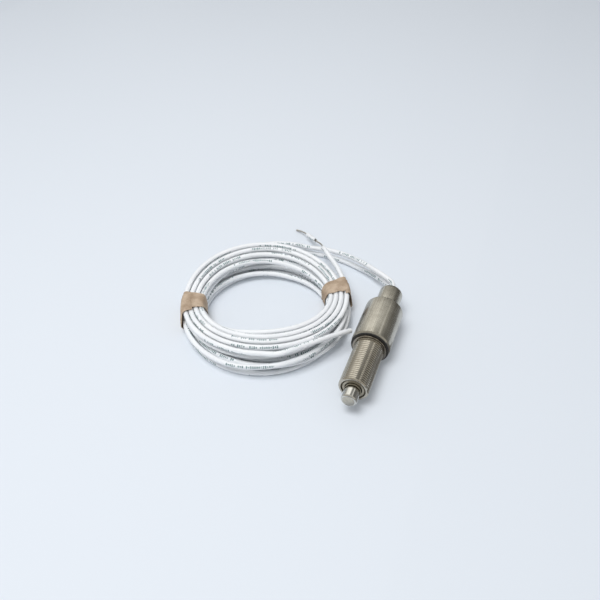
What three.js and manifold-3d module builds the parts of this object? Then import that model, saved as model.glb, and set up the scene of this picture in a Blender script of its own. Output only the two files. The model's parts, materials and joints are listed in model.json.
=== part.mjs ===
// A flame sensor probe: a stepped metal body lying on its side along Y, its sensing tip towards -Y,
// and two insulated leads that leave its rear collar and are wound together in a taped coil beside it.
// Millimetres, +Z up. The probe rests on z = 0, and the origin is below the middle of its length.
import * as THREE from "three";
import { mergeVertices } from "three/addons/utils/BufferGeometryUtils.js";
import Module from "manifold-3d";

const wasm = await Module();
wasm.setup();

// Turned body: the housing's size drives the others, each a share of it as the next bar size down
const housingDiameter = 25.4;
const housingLength = 35.3;
const sleeveShare = 0.75;
const sleeveProjection = 37.3;
const collarShare = 0.625;
const collarProjection = 18;
const snoutShare = 0.375;
const snoutProjection = 7.4;

// Walls as shares of the housing's diameter
const sleeveWallShare = 0.057;
const linerWallShare = 0.0228;
const guardWallShare = 0.051;
const collarWallShare = 0.051;
const envelopeWallShare = 0.0275;

// Clearance left between pieces that seat on each other, and the overrun of every cutting tool
const fit = 0.3;
const overrun = 2;

// Housing
const frontChamfer = 1.3;
const rearRound = 0.9;
const sleeveSocketDepth = 15;

// Threaded sleeve
const sleeveLip = 0.5;
const threadPitch = 1.5875;
const threadDepth = 0.4;
const reliefWidth = 1;
const reliefDepth = 0.6;
const sealSection = 1.5;

// Gasket and lock ring in front of the housing's shoulder
const gasketStep = 0.35;
const gasketThickness = 0.7;
const gasketEdge = 0.2;
const lockRingReach = 1;
const lockRingThickness = 0.9;
const lockRingEdge = 0.2;

// Guard tube, its insulating liner and the step back of each from the sleeve's mouth
const guardSetback = 0.6;
const guardLip = 0.35;
const linerSetback = 3;

// Snout, window and window seal
const snoutReach = 8;
const snoutFlange = 1.2;
const snoutEdge = 0.5;
const snoutRim = 0.46;
const windowThickness = 1.5;
const windowRecess = 0.1;
const sealWidth = 0.7;
const sealThickness = 0.6;

// Discharge tube: glass envelope, ceramic base, two electrodes
const envelopeClearance = 0.6;
const envelopeLength = 22;
const basePlug = 3;
const baseFlange = 3;
const stemDiameter = 0.9;
const stemInset = 0.8;
const electrodeInset = 0.9;
const cathodeThickness = 0.6;
const anodeWire = 0.6;
const electrodeSpacing = 1.4;
const electrodeStandoff = 11;

// Spring that presses the tube towards the window, and its seat
const springWire = 0.7;
const springClearance = 0.9;
const springLength = 8.4;
const springTurns = 6;
const seatThickness = 3;

// Joints inside the housing
const hookupDiameter = 1.8;
const spliceDiameter = 3.9;
const spliceLength = 10;
const spliceCrimp = 0.35;
const spliceLinerWall = 0.65;

// Rear collar and grommet
const collarSeat = 9;
const collarEdge = 0.6;
const grommetLength = 14;
const grommetRecess = 0.8;
const grommetEdge = 0.5;
const grommetWasherThickness = 1.2;

// Leads
const leadDiameter = 3.5;
const leadOffset = 2.3;
const leadGap = 0.51;
const conductorDiameter = 1.2;
const slugLength = 13;

// Coil of both leads: its middle, the angles of its two ties, and how loosely it lies between them
const coilX = -76.7;
const coilY = 9.3;
const rightTieAngle = 36.5;
const leftTieAngle = 200;
const windingStartAngle = 88;
const layers = 4;
const turnsPerLayer = 2;
const leadsInCoil = 2;
const innerRadiusAtRightTie = 40.3;
const innerRadiusAtLeftTie = 39;
const innerRadiusFar = 40.3;
const innerRadiusNear = 28;
const spreadFar = 2.2;
const spreadNear = 2.15;
const splayNear = 1.2;
const lieFar = 1.0;
const lieNear = 1.4;
const floorClearance = 0.05;
const tieLiftShare = 1.2;
const bulgeShare = 1.2;
const climbTurns = 0.5;
const entryRadiusA = 9;
const entryRadiusB = 15;
const entryLift = 5;
const entryTurnsA = 0.27;
const entryTurnsB = 0.22;
const lastTurnA = 7.885;
const lastTurnB = 8.05;

// Paper ties round the coil
const tapeWidth = 15;
const tapeThickness = 0.5;

// Facets
const bodySides = 40;
const innerSides = 28;
const smallSides = 16;
const leadSides = 8;
const coilSides = 6;
const stepsPerLoop = 24;
const degree = Math.PI / 180;

// Radii, worked inwards from the housing's diameter
const housingRadius = housingDiameter / 2;
const sleeveRadius = housingRadius * sleeveShare;
const sleeveBore = sleeveRadius - housingDiameter * sleeveWallShare;
const linerRadius = sleeveBore - fit;
const linerBore = linerRadius - housingDiameter * linerWallShare;
const guardRadius = linerBore - fit;
const guardBore = guardRadius - housingDiameter * guardWallShare;
const collarRadius = housingRadius * collarShare;
const collarBore = collarRadius - housingDiameter * collarWallShare;
const housingBore = collarRadius + fit;
const gasketRadius = housingRadius - gasketStep;
const threadRadius = sleeveRadius + fit;
const lockRingRadius = sleeveRadius + lockRingReach;
const snoutRadius = housingRadius * snoutShare;
const windowRadius = snoutRadius - snoutRim - fit;
const snoutBore = windowRadius - sealWidth;
const envelopeRadius = guardBore - envelopeClearance;
const envelopeBore = envelopeRadius - housingDiameter * envelopeWallShare;
const plugRadius = envelopeBore - fit;
const stemOffset = plugRadius - stemInset;
const electrodeRadius = stemOffset - electrodeInset;
const springRadius = guardBore - springClearance;
const leadRadius = leadDiameter / 2;

// Stations along Y, from the tip to the rear
const totalLength = snoutProjection + sleeveProjection + housingLength + collarProjection;
const tipY = -totalLength / 2;
const mouthY = tipY + snoutProjection;
const shoulderY = mouthY + sleeveProjection;
const housingRearY = shoulderY + housingLength;
const rearY = housingRearY + collarProjection;
const socketEndY = shoulderY + sleeveSocketDepth;
const sleeveRearY = socketEndY - sealSection - fit - fit;
const snoutRearY = mouthY + snoutReach;
const envelopeY = snoutRearY + fit;
const baseY = envelopeY + envelopeLength + fit;
const springY = baseY + baseFlange + fit;
const seatY = springY + springLength + fit;
const stemEndY = seatY + seatThickness + fit;
const collarFrontY = housingRearY - collarSeat;
const spliceY = socketEndY + fit;
const spliceRearY = spliceY + spliceLength;
const grommetRearY = rearY - grommetRecess;
const grommetFrontY = grommetRearY - grommetLength;

// Finishes
function finish(colour, roughness, metalness) {
  return new THREE.MeshStandardMaterial({ color: colour, roughness, metalness });
}
const nickel = finish(0x9b968a, 0.34, 1);
const polished = finish(0xb4b2ab, 0.2, 1);
const darkRubber = finish(0x2b2a28, 0.6, 0);
const frostedQuartz = finish(0xc4c5c0, 0.5, 0);
const clearGlass = finish(0xdfe8e8, 0.08, 0);
const ceramic = finish(0xe8e4da, 0.55, 0);
const tungsten = finish(0x6f6c68, 0.4, 1);
const springSteel = finish(0x8d9096, 0.3, 1);
const fibre = finish(0x8a6a46, 0.8, 0);
const fluoropolymer = finish(0xe9ebe6, 0.6, 0);
const tinnedCopper = finish(0xb9b4aa, 0.35, 1);
const blackRubber = finish(0x1d1e20, 0.7, 0);
const leadJacket = finish(0xf1f2f3, 0.45, 0);
const kraftPaper = finish(0xb98f66, 0.85, 0);

// Shape helpers
function volumeOf(geometry) {
  const place = geometry.getAttribute("position");
  const order = geometry.getIndex();
  const a = new THREE.Vector3();
  const b = new THREE.Vector3();
  const c = new THREE.Vector3();
  let total = 0;
  for (let i = 0; i < order.count; i += 3) {
    a.fromBufferAttribute(place, order.getX(i));
    b.fromBufferAttribute(place, order.getX(i + 1));
    c.fromBufferAttribute(place, order.getX(i + 2));
    total += a.dot(b.cross(c)) / 6;
  }
  return total;
}

// Joins shared corners, drops faces without area and makes the faces point out
function closed(geometry) {
  const bare = geometry.clone();
  bare.deleteAttribute("normal");
  bare.deleteAttribute("uv");
  const joined = mergeVertices(bare, 1e-4);
  const order = joined.getIndex();
  const kept = [];
  for (let i = 0; i < order.count; i += 3) {
    const corner = [order.getX(i), order.getX(i + 1), order.getX(i + 2)];
    if (new Set(corner).size === 3) {
      kept.push(...corner);
    }
  }
  joined.setIndex(kept);
  if (volumeOf(joined) < 0) {
    joined.setIndex(kept.reverse());
  }
  joined.computeVertexNormals();
  return joined;
}

// A closed outline of [radius, station] pairs, turned about the probe's own axis
function turned(outline, sides) {
  const points = outline.map(([radius, station]) => new THREE.Vector2(radius, station));
  if (outline[0][0] > 0) {
    points.push(points[0].clone());
  }
  return closed(new THREE.LatheGeometry(points, sides));
}

// A quarter turn of outline between two corners of a rounded edge
function rounded(centreRadius, centreStation, edge, from, to, steps) {
  const points = [];
  for (let i = 0; i <= steps; i += 1) {
    const angle = (from + ((to - from) * i) / steps) * degree;
    points.push([centreRadius + edge * Math.cos(angle), centreStation + edge * Math.sin(angle)]);
  }
  return points;
}

function ring(section, meanRadius, station, sides) {
  const torus = new THREE.TorusGeometry(meanRadius, section / 2, coilSides, sides);
  torus.rotateX(Math.PI / 2);
  torus.translate(0, station, 0);
  return closed(torus);
}

function rod(diameter, length, station, lift, sides) {
  const cylinder = new THREE.CylinderGeometry(diameter / 2, diameter / 2, length, sides);
  cylinder.translate(0, station + length / 2, lift);
  return closed(cylinder);
}

function toSolid(geometry) {
  const vertProperties = Float32Array.from(geometry.getAttribute("position").array);
  const triVerts = Uint32Array.from(geometry.getIndex().array);
  return new wasm.Manifold(new wasm.Mesh({ numProp: 3, vertProperties, triVerts }));
}

function toGeometry(solid) {
  const mesh = solid.getMesh();
  const geometry = new THREE.BufferGeometry();
  geometry.setAttribute("position", new THREE.BufferAttribute(mesh.vertProperties, 3));
  geometry.setIndex(new THREE.BufferAttribute(mesh.triVerts, 1));
  return closed(geometry);
}

function drilled(geometry, diameter, offset, fromY, toY) {
  let solid = toSolid(geometry);
  for (const side of [-1, 1]) {
    const length = toY - fromY + overrun + overrun;
    solid = solid.subtract(toSolid(rod(diameter, length, fromY - overrun, side * offset, smallSides)));
  }
  return toGeometry(solid);
}

function joined(...geometries) {
  return toGeometry(geometries.map(toSolid).reduce((whole, piece) => whole.add(piece)));
}

// A round section swept along a curve, for the stretches of lead that lie free
function swept(curve, outerDiameter, sides, steps, boreDiameter) {
  const outline = new THREE.Shape();
  outline.setFromPoints(circlePoints(outerDiameter / 2, sides));
  if (boreDiameter) {
    outline.holes.push(new THREE.Path().setFromPoints(circlePoints(boreDiameter / 2, sides).reverse()));
  }
  const settings = { steps, bevelEnabled: false, extrudePath: curve };
  return closed(new THREE.ExtrudeGeometry(outline, settings));
}

function circlePoints(radius, sides) {
  const points = [];
  for (let i = 0; i < sides; i += 1) {
    const angle = (2 * Math.PI * i) / sides;
    points.push(new THREE.Vector2(radius * Math.cos(angle), radius * Math.sin(angle)));
  }
  return points;
}

// One unbroken tube through a list of centres, for windings
function tubeThrough(centres, diameter, sides) {
  const place = [];
  const order = [];
  const up = new THREE.Vector3(0, 0, 1);
  centres.forEach((centre, i) => {
    const before = centres[Math.max(i - 1, 0)];
    const after = centres[Math.min(i + 1, centres.length - 1)];
    const along = after.clone().sub(before).normalize();
    const out = along.clone().cross(up).normalize();
    const over = out.clone().cross(along);
    for (let k = 0; k < sides; k += 1) {
      const angle = (2 * Math.PI * k) / sides;
      const corner = centre.clone();
      corner.addScaledVector(out, (diameter / 2) * Math.cos(angle));
      corner.addScaledVector(over, (diameter / 2) * Math.sin(angle));
      place.push(corner.x, corner.y, corner.z);
    }
  });
  for (let i = 0; i + 1 < centres.length; i += 1) {
    for (let k = 0; k < sides; k += 1) {
      const here = i * sides + k;
      const next = i * sides + ((k + 1) % sides);
      order.push(here, next, next + sides, here, next + sides, here + sides);
    }
  }
  const last = (centres.length - 1) * sides;
  for (let k = 1; k + 1 < sides; k += 1) {
    order.push(0, k + 1, k, last, last + k, last + k + 1);
  }
  const geometry = new THREE.BufferGeometry();
  geometry.setAttribute("position", new THREE.Float32BufferAttribute(place, 3));
  geometry.setIndex(order);
  return closed(geometry);
}

// Coil formula
function eased(share) {
  const s = Math.min(Math.max(share, 0), 1);
  return s * s * (3 - 2 * s);
}

function mixed(from, to, share) {
  return from + (to - from) * share;
}

// The bundle's section at an angle round the coil: tight at the ties, looser between them
function bundleAt(angle, level) {
  const turn = ((angle % 360) + 360) % 360;
  const far = turn >= rightTieAngle && turn < leftTieAngle;
  const onward = turn < rightTieAngle ? turn + 360 : turn;
  const farShare = (turn - rightTieAngle) / (leftTieAngle - rightTieAngle);
  const nearShare = (onward - leftTieAngle) / (rightTieAngle + 360 - leftTieAngle);
  const share = far ? farShare : nearShare;
  const bulge = Math.sin(Math.PI * share) ** bulgeShare;
  const first = far ? innerRadiusAtRightTie : innerRadiusAtLeftTie;
  const second = far ? innerRadiusAtLeftTie : innerRadiusAtRightTie;
  const middle = far ? innerRadiusFar : innerRadiusNear;
  const tightRadius = mixed(first, second, eased(share));
  const splay = (splayNear * (layers - 1 - 2 * level)) / (layers - 1);
  const spread = far ? spreadFar : spreadNear + splay;
  return {
    innerRadius: tightRadius + bulge * (middle - (first + second) / 2),
    pitch: leadDiameter + leadGap + bulge * spread,
    layerStep: leadDiameter + leadGap + bulge * (far ? lieFar : lieNear),
    floor: floorClearance + (tapeThickness + fit) * tieLiftShare * (1 - bulge),
  };
}

const windingTurns = layers * turnsPerLayer;
const strandsAcross = turnsPerLayer * leadsInCoil;

function levelAfter(turns) {
  let level = 0;
  for (let layer = 1; layer < layers; layer += 1) {
    level += eased((turns - layer * turnsPerLayer) / climbTurns + climbTurns);
  }
  return level;
}

// A lead's centre after so many turns. Lead B lies half a turn behind lead A, so they alternate.
function windingPoint(turns, lag, entryTurns, entryRadius, lift) {
  const layer = Math.min(Math.floor(turns / turnsPerLayer), layers - 1);
  const along = Math.min(turns / turnsPerLayer - layer, 1);
  const across = layer % 2 === 0 ? 1 - along : along;
  const level = levelAfter(turns);
  const angle = windingStartAngle + 360 * (turns - lag);
  const bundle = bundleAt(angle, level);
  const entry = 1 - eased((turns - lag) / entryTurns);
  const width = bundle.pitch * strandsAcross;
  const radius = bundle.innerRadius + leadRadius + width * across + entryRadius * entry;
  const height = bundle.floor + leadRadius + level * bundle.layerStep + lift * entry;
  const x = coilX + radius * Math.cos(angle * degree);
  const y = coilY + radius * Math.sin(angle * degree);
  return new THREE.Vector3(x, y, height);
}

// Centres at the same angles for both leads, so that their facets lie side by side
function windingCentres(lag, lastTurn, entryTurns, entryRadius, lift) {
  const turns = [lag];
  const angleStep = 360 / stepsPerLoop;
  const firstStep = Math.floor(windingStartAngle / angleStep) + 1;
  for (let step = firstStep; ; step += 1) {
    const turn = (step * angleStep - windingStartAngle) / 360 + lag;
    if (turn >= lastTurn - 1 / stepsPerLoop / 2) {
      break;
    }
    turns.push(turn);
  }
  turns.push(lastTurn);
  const centres = turns.map((turn) => windingPoint(turn, lag, entryTurns, entryRadius, lift));
  const start = centres[0].clone().sub(centres[1]).normalize();
  const end = centres[centres.length - 1].clone().sub(centres[centres.length - 2]).normalize();
  centres.unshift(centres[0].clone().addScaledVector(start, leadDiameter));
  centres.push(centres[centres.length - 1].clone().addScaledVector(end, leadDiameter));
  return { centres, start, end };
}

const windingA = windingCentres(0, lastTurnA, entryTurnsA, entryRadiusA, entryLift);
const windingB = windingCentres(1 / leadsInCoil, lastTurnB, entryTurnsB, entryRadiusB, 0);

// Least distance between two windings, or of one to its own other turns, less the lead's diameter
function leastGap(first, second) {
  const fine = 6;
  const apart = (stepsPerLoop * fine) / 3;
  const one = new THREE.CatmullRomCurve3(first).getPoints(first.length * fine);
  const two = new THREE.CatmullRomCurve3(second).getPoints(second.length * fine);
  let least = Infinity;
  one.forEach((point, i) => {
    two.forEach((other, j) => {
      if (first !== second || Math.abs(i - j) > apart) {
        least = Math.min(least, point.distanceTo(other));
      }
    });
  });
  return least - leadDiameter;
}
console.log("least gap, lead A to itself", leastGap(windingA.centres, windingA.centres).toFixed(3), "mm");
console.log("least gap, lead B to itself", leastGap(windingB.centres, windingB.centres).toFixed(3), "mm");
console.log("least gap, lead A to lead B", leastGap(windingA.centres, windingB.centres).toFixed(3), "mm");

// Free stretches of lead: points chosen by hand between the collar, the coil and the cut ends
const runPointsA = [
  [-1.4, 57.0, 14.8], [-4.6, 60.2, 14.5], [-8.8, 63.2, 14.1], [-13.6, 66.5, 13.4], [-19.2, 70.2, 12.5],
  [-25.0, 73.8, 11.6], [-31.4, 77.4, 10.5], [-38.0, 80.6, 9.4], [-45.4, 83.4, 8.4], [-52.6, 84.8, 7.7],
  [-59.6, 85.1, 7.3],
];
const runPointsB = [
  [-1.3, 57.0, 9.8], [-4.4, 60.6, 9.1], [-8.8, 64.4, 8.1], [-14.0, 68.3, 6.8], [-20.0, 72.4, 5.3],
  [-26.4, 76.2, 3.8], [-33.2, 79.4, 2.7], [-40.4, 82.0, 2.1], [-47.6, 83.6, 1.85], [-54.8, 84.4, 1.82],
  [-61.4, 84.6, 1.85],
];
const tailPointsA = [
  [-43.4, 61.2, 14.9], [-47.3, 65.5, 14.8], [-51.3, 70.0, 14.4], [-54.6, 74.2, 13.7], [-57.4, 78.0, 12.9],
  [-60.0, 81.2, 12.0],
];
const tailPointsB = [
  [-50.6, -35.2, 18.7], [-46.4, -32.2, 19.2], [-42.6, -28.8, 19.4], [-39.0, -25.2, 19.5],
  [-35.0, -20.8, 19.3], [-30.7, -15.8, 18.8], [-26.3, -10.4, 17.9], [-22.0, -4.7, 16.5],
  [-18.4, 0.6, 14.8], [-15.7, 4.7, 13.2],
];
const barePointsA = [
  [-63.9, 86.6, 10.5], [-67.2, 89.2, 9.6], [-70.6, 92.2, 8.5], [-74.2, 95.5, 7.3], [-77.8, 98.9, 6.0],
  [-81.2, 102.0, 4.6], [-84.6, 104.8, 3.2], [-88.0, 107.0, 1.8], [-91.2, 108.2, 0.8],
];

function vector([x, y, z]) {
  return new THREE.Vector3(x, y, z);
}

// A curve that starts and ends straight, over one diameter, along the given directions
function route(start, startWay, points, end, endWay) {
  const list = [start, start.clone().addScaledVector(startWay, leadDiameter), ...points.map(vector)];
  if (end) {
    list.push(end.clone().addScaledVector(endWay, leadDiameter), end);
  }
  return new THREE.CatmullRomCurve3(list, false, "centripetal");
}

function beyond(winding, atEnd) {
  const list = winding.centres;
  const point = atEnd ? list[list.length - 1] : list[0];
  const way = atEnd ? winding.end : winding.start;
  return { point: point.clone().addScaledVector(way, fit), way };
}

function stepsFor(curve, diameter) {
  const diametersPerStep = 2.4;
  return Math.max(2, Math.round(curve.getLength() / (diameter * diametersPerStep)));
}

function freeLead(curve) {
  return swept(curve, leadDiameter, leadSides, stepsFor(curve, leadDiameter));
}

const rearward = new THREE.Vector3(0, 1, 0);
function exitPoint(side) {
  return new THREE.Vector3(0, rearY + fit, housingRadius + side * leadOffset);
}

const runCurveA = route(exitPoint(1), rearward, runPointsA, beyond(windingA, false).point, windingA.start);
const runCurveB = route(exitPoint(-1), rearward, runPointsB, beyond(windingB, false).point, windingB.start);
const tailCurveA = route(beyond(windingA, true).point, windingA.end, tailPointsA);
const tailCurveB = route(beyond(windingB, true).point, windingB.end, tailPointsB);

const tailEndA = vector(tailPointsA[tailPointsA.length - 1]);
const bareWay = vector(barePointsA[0]).sub(tailEndA).normalize();
const bareStart = tailEndA.clone().addScaledVector(bareWay, fit);
const bareCurve = new THREE.CatmullRomCurve3([bareStart, ...barePointsA.map(vector)], false, "centripetal");

// The slug of jacket that was pulled along the bare strands lies over this much of their curve
const slugStartShare = 0.36;
function slugCurve() {
  const shareLong = slugLength / bareCurve.getLength();
  const points = [];
  const pieces = 4;
  for (let i = 0; i <= pieces; i += 1) {
    points.push(bareCurve.getPointAt(slugStartShare + (shareLong * i) / pieces));
  }
  return new THREE.CatmullRomCurve3(points, false, "centripetal");
}

// A band of paper round the bundle: its section follows the bundle over the tape's width
function tie(angle) {
  const stations = 5;
  const middle = bundleAt(angle, 0);
  const meanRadius = middle.innerRadius + leadRadius + (middle.pitch * strandsAcross) / 2;
  const halfAngle = tapeWidth / 2 / meanRadius / degree;
  const place = [];
  const order = [];
  let count = 0;
  for (let i = 0; i < stations; i += 1) {
    const turn = angle + halfAngle * ((2 * i) / (stations - 1) - 1);
    for (const thickness of [0, tapeThickness]) {
      const outline = tieOutline(turn, thickness);
      count = outline.length;
      for (const [radius, height] of outline) {
        const x = coilX + radius * Math.cos(turn * degree);
        place.push(x, coilY + radius * Math.sin(turn * degree), height);
      }
    }
  }
  const corner = (station, skin, k) => (station * 2 + skin) * count + (k % count);
  const quad = (a, b, c, d) => order.push(a, b, c, a, c, d);
  for (let k = 0; k < count; k += 1) {
    for (let i = 0; i + 1 < stations; i += 1) {
      quad(corner(i, 1, k), corner(i, 1, k + 1), corner(i + 1, 1, k + 1), corner(i + 1, 1, k));
      quad(corner(i, 0, k + 1), corner(i, 0, k), corner(i + 1, 0, k), corner(i + 1, 0, k + 1));
    }
    const end = stations - 1;
    quad(corner(0, 0, k), corner(0, 0, k + 1), corner(0, 1, k + 1), corner(0, 1, k));
    quad(corner(end, 1, k), corner(end, 1, k + 1), corner(end, 0, k + 1), corner(end, 0, k));
  }
  const geometry = new THREE.BufferGeometry();
  geometry.setAttribute("position", new THREE.Float32BufferAttribute(place, 3));
  geometry.setIndex(order);
  return closed(geometry);
}

// The band's rounded outline, as [radius, height], a fit clear of the strands
function tieOutline(angle, thickness) {
  const cornerSteps = 3;
  const low = bundleAt(angle, 0);
  const high = bundleAt(angle, layers - 1);
  const edge = leadRadius + fit + thickness;
  const inner = low.innerRadius + leadRadius;
  const outer = inner + Math.max(low.pitch, high.pitch) * strandsAcross;
  const bottom = low.floor + leadRadius;
  const top = high.floor + leadRadius + high.layerStep * (layers - 1);
  const points = [];
  const corners = [[outer, top, 0], [inner, top, 90], [inner, bottom, 180], [outer, bottom, 270]];
  for (const [radius, height, from] of corners) {
    for (let i = 0; i <= cornerSteps; i += 1) {
      const turn = (from + (90 * i) / cornerSteps) * degree;
      points.push([radius + edge * Math.cos(turn), height + edge * Math.sin(turn)]);
    }
  }
  return points;
}

// The group, and how a piece joins it: body pieces are drawn about the axis and lifted on to the table
const group = new THREE.Group();
const body = new THREE.Group();
body.position.set(0, 0, housingRadius);
group.add(body);

function add(parent, name, geometry, material) {
  const mesh = new THREE.Mesh(geometry, material);
  mesh.name = name;
  parent.add(mesh);
}

// Main housing: chamfered shoulder in front, rounded behind, bored through for sleeve and collar
function housingShape() {
  const socket = sleeveRadius + fit;
  return turned([
    [socket, shoulderY],
    [housingRadius - frontChamfer, shoulderY],
    [housingRadius, shoulderY + frontChamfer],
    ...rounded(housingRadius - rearRound, housingRearY - rearRound, rearRound, 0, 90, 4),
    [housingBore, housingRearY],
    [housingBore, socketEndY],
    [socket, socketEndY],
  ], bodySides);
}

// The thread, told by its crests and roots as one ring of teeth after another, with whole teeth only
function teethBetween(fromY, toY) {
  const teeth = Math.floor((toY - fromY) / threadPitch);
  const flank = (toY - fromY) / teeth / 2;
  const outline = [[sleeveRadius, fromY]];
  for (let k = 0; k < teeth; k += 1) {
    const rootY = fromY + flank * (2 * k + 1);
    outline.push([sleeveRadius - threadDepth, rootY], [sleeveRadius, rootY + flank]);
  }
  return outline;
}

// Sleeve: the long threaded tube, relieved behind the lock ring, its rear end in the housing's socket
function sleeveShape() {
  const reliefY = shoulderY - fit - gasketThickness - fit - lockRingThickness - reliefWidth;
  return turned([
    [sleeveBore + sleeveLip, mouthY],
    [sleeveRadius - sleeveLip, mouthY],
    ...teethBetween(mouthY + sleeveLip, reliefY),
    [sleeveRadius - reliefDepth, reliefY],
    [sleeveRadius - reliefDepth, reliefY + reliefWidth],
    [sleeveRadius, reliefY + reliefWidth],
    [sleeveRadius, sleeveRearY],
    [sleeveBore, sleeveRearY],
    [sleeveBore, mouthY + sleeveLip],
  ], bodySides);
}

function washerShape(outerRadius, innerRadius, fromY, thickness, edge, sides) {
  return turned([
    [innerRadius, fromY],
    ...rounded(outerRadius - edge, fromY + edge, edge, -90, 0, 2),
    ...rounded(outerRadius - edge, fromY + thickness - edge, edge, 0, 90, 2),
    [innerRadius, fromY + thickness],
  ], sides);
}

function tubeShape(outerRadius, innerRadius, fromY, toY, lip, sides) {
  return turned([
    [innerRadius, fromY],
    [outerRadius - lip, fromY],
    [outerRadius, fromY + lip],
    [outerRadius, toY],
    [innerRadius, toY],
  ], sides);
}

// Snout: a thin tube with a flange behind, rebated in front for the window and its seal
function snoutShape() {
  const rebate = windowRadius + fit;
  const stepY = tipY + windowRecess + windowThickness + fit + sealThickness + fit;
  const flangeRadius = guardBore - fit;
  return turned([
    [rebate, tipY],
    ...rounded(snoutRadius - snoutEdge, tipY + snoutEdge, snoutEdge, -66, 0, 3),
    [snoutRadius, snoutRearY - snoutFlange],
    [flangeRadius, snoutRearY - snoutFlange],
    [flangeRadius, snoutRearY],
    [snoutBore, snoutRearY],
    [snoutBore, stepY],
    [rebate, stepY],
  ], innerSides);
}

function windowShape() {
  const frontY = tipY + windowRecess;
  return turned([
    [0, frontY],
    [windowRadius - windowRecess, frontY],
    [windowRadius, frontY + windowRecess],
    [windowRadius, frontY + windowThickness],
    [0, frontY + windowThickness],
  ], innerSides);
}

// Glass envelope: domed towards the window and open behind, where the base plugs it
function envelopeShape() {
  const domeSteps = 5;
  const outerDome = rounded(0, envelopeY + envelopeRadius, envelopeRadius, -90, 0, domeSteps);
  const innerDome = rounded(0, envelopeY + envelopeRadius, envelopeBore, 0, -90, domeSteps);
  outerDome[0][0] = 0;
  innerDome[domeSteps][0] = 0;
  return turned([
    ...outerDome,
    [envelopeRadius, envelopeY + envelopeLength],
    [envelopeBore, envelopeY + envelopeLength],
    ...innerDome,
  ], innerSides);
}

function baseShape() {
  const whole = turned([
    [0, baseY - fit - basePlug],
    [plugRadius, baseY - fit - basePlug],
    [plugRadius, baseY],
    [guardBore - fit, baseY],
    [guardBore - fit, baseY + baseFlange],
    [0, baseY + baseFlange],
  ], innerSides);
  return drilled(whole, stemDiameter + fit + fit, stemOffset, baseY - basePlug, baseY + baseFlange);
}

// Electrodes: a disc and, in front of it, a wire ring, each on a stem that runs back through the base
function cathodeShape() {
  const discY = envelopeY + electrodeStandoff;
  const disc = rod(electrodeRadius + electrodeRadius, cathodeThickness, discY, 0, innerSides);
  const stem = rod(stemDiameter, stemEndY - discY, discY, -stemOffset, leadSides);
  const arm = new THREE.BoxGeometry(stemDiameter, cathodeThickness, stemOffset);
  arm.translate(0, discY + cathodeThickness / 2, -stemOffset / 2);
  return joined(disc, stem, closed(arm));
}

function anodeShape() {
  const ringY = envelopeY + electrodeStandoff - electrodeSpacing;
  const loop = ring(anodeWire, electrodeRadius - anodeWire / 2, ringY, innerSides);
  const stemY = ringY - anodeWire / 2;
  const stem = rod(stemDiameter, stemEndY - stemY, stemY, stemOffset, leadSides);
  const reach = stemOffset - electrodeRadius + anodeWire;
  const arm = new THREE.BoxGeometry(anodeWire, anodeWire, reach);
  arm.translate(0, ringY, stemOffset - reach / 2);
  return joined(loop, stem, closed(arm));
}

// Compression spring: a helix whose first and last turns lie flat
function springShape() {
  const steps = springTurns * smallSides;
  const centres = [];
  for (let i = 0; i <= steps; i += 1) {
    const turns = i / smallSides;
    const share = eased((turns - 1 / 2) / (springTurns - 1));
    const angle = 2 * Math.PI * turns;
    const radius = springRadius - springWire / 2;
    const rise = springWire / 2 + (springLength - springWire) * mixed(turns / springTurns, share, 1 / 2);
    centres.push(new THREE.Vector3(radius * Math.cos(angle), radius * Math.sin(angle), rise));
  }
  const helix = tubeThrough(centres, springWire, coilSides - 1);
  helix.rotateX(-Math.PI / 2);
  helix.translate(0, springY, 0);
  return closed(helix);
}

function seatShape() {
  const whole = turned([
    [0, seatY],
    [guardBore - fit, seatY],
    [guardBore - fit, seatY + seatThickness],
    [0, seatY + seatThickness],
  ], innerSides);
  return drilled(whole, stemDiameter + fit + fit, stemOffset, seatY, seatY + seatThickness);
}

// Hookup wires bend from the stems' spacing to the splices' spacing
function hookupShape(side) {
  const from = stemEndY + fit;
  const to = spliceY - fit;
  const middle = (from + to) / 2;
  const points = [
    new THREE.Vector3(0, from, side * stemOffset),
    new THREE.Vector3(0, middle, (side * (stemOffset + leadOffset)) / 2),
    new THREE.Vector3(0, to, side * leadOffset),
  ];
  return swept(new THREE.CatmullRomCurve3(points), hookupDiameter, leadSides, 4);
}

// Splice: a crimped barrel, pinched in the middle of each half
function spliceShape(side) {
  const radius = spliceDiameter / 2;
  const quarter = spliceLength / 4;
  const shape = turned([
    [0, spliceY],
    [radius, spliceY],
    [radius - spliceCrimp, spliceY + quarter],
    [radius, spliceY + quarter + quarter],
    [radius - spliceCrimp, spliceRearY - quarter],
    [radius, spliceRearY],
    [0, spliceRearY],
  ], smallSides);
  shape.translate(0, 0, side * leadOffset);
  return shape;
}

function collarShape() {
  return turned([
    [collarBore, collarFrontY],
    [collarRadius, collarFrontY],
    [collarRadius, rearY - collarEdge],
    [collarRadius - collarEdge, rearY],
    [collarBore, rearY],
  ], bodySides);
}

function grommetShape() {
  const radius = collarBore - fit;
  const whole = turned([
    [0, grommetFrontY],
    [radius, grommetFrontY],
    ...rounded(radius - grommetEdge, grommetRearY - grommetEdge, grommetEdge, 0, 90, 2),
    [0, grommetRearY],
  ], innerSides);
  return drilled(whole, leadDiameter + fit + fit, leadOffset, grommetFrontY, grommetRearY);
}

function grommetWasherShape() {
  const radius = collarBore - fit;
  const rear = grommetFrontY - fit;
  const whole = turned([
    [0, rear - grommetWasherThickness],
    [radius, rear - grommetWasherThickness],
    [radius, rear],
    [0, rear],
  ], innerSides);
  return drilled(whole, leadDiameter + fit + fit, leadOffset, rear - grommetWasherThickness, rear);
}

const gasketY = shoulderY - fit - gasketThickness;
const lockRingY = gasketY - fit - lockRingThickness;
const spliceLinerRadius = housingBore - fit;
const sealY = tipY + windowRecess + windowThickness + fit;
const sleeveSealRadius = (housingBore + threadRadius) / 2;

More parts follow.
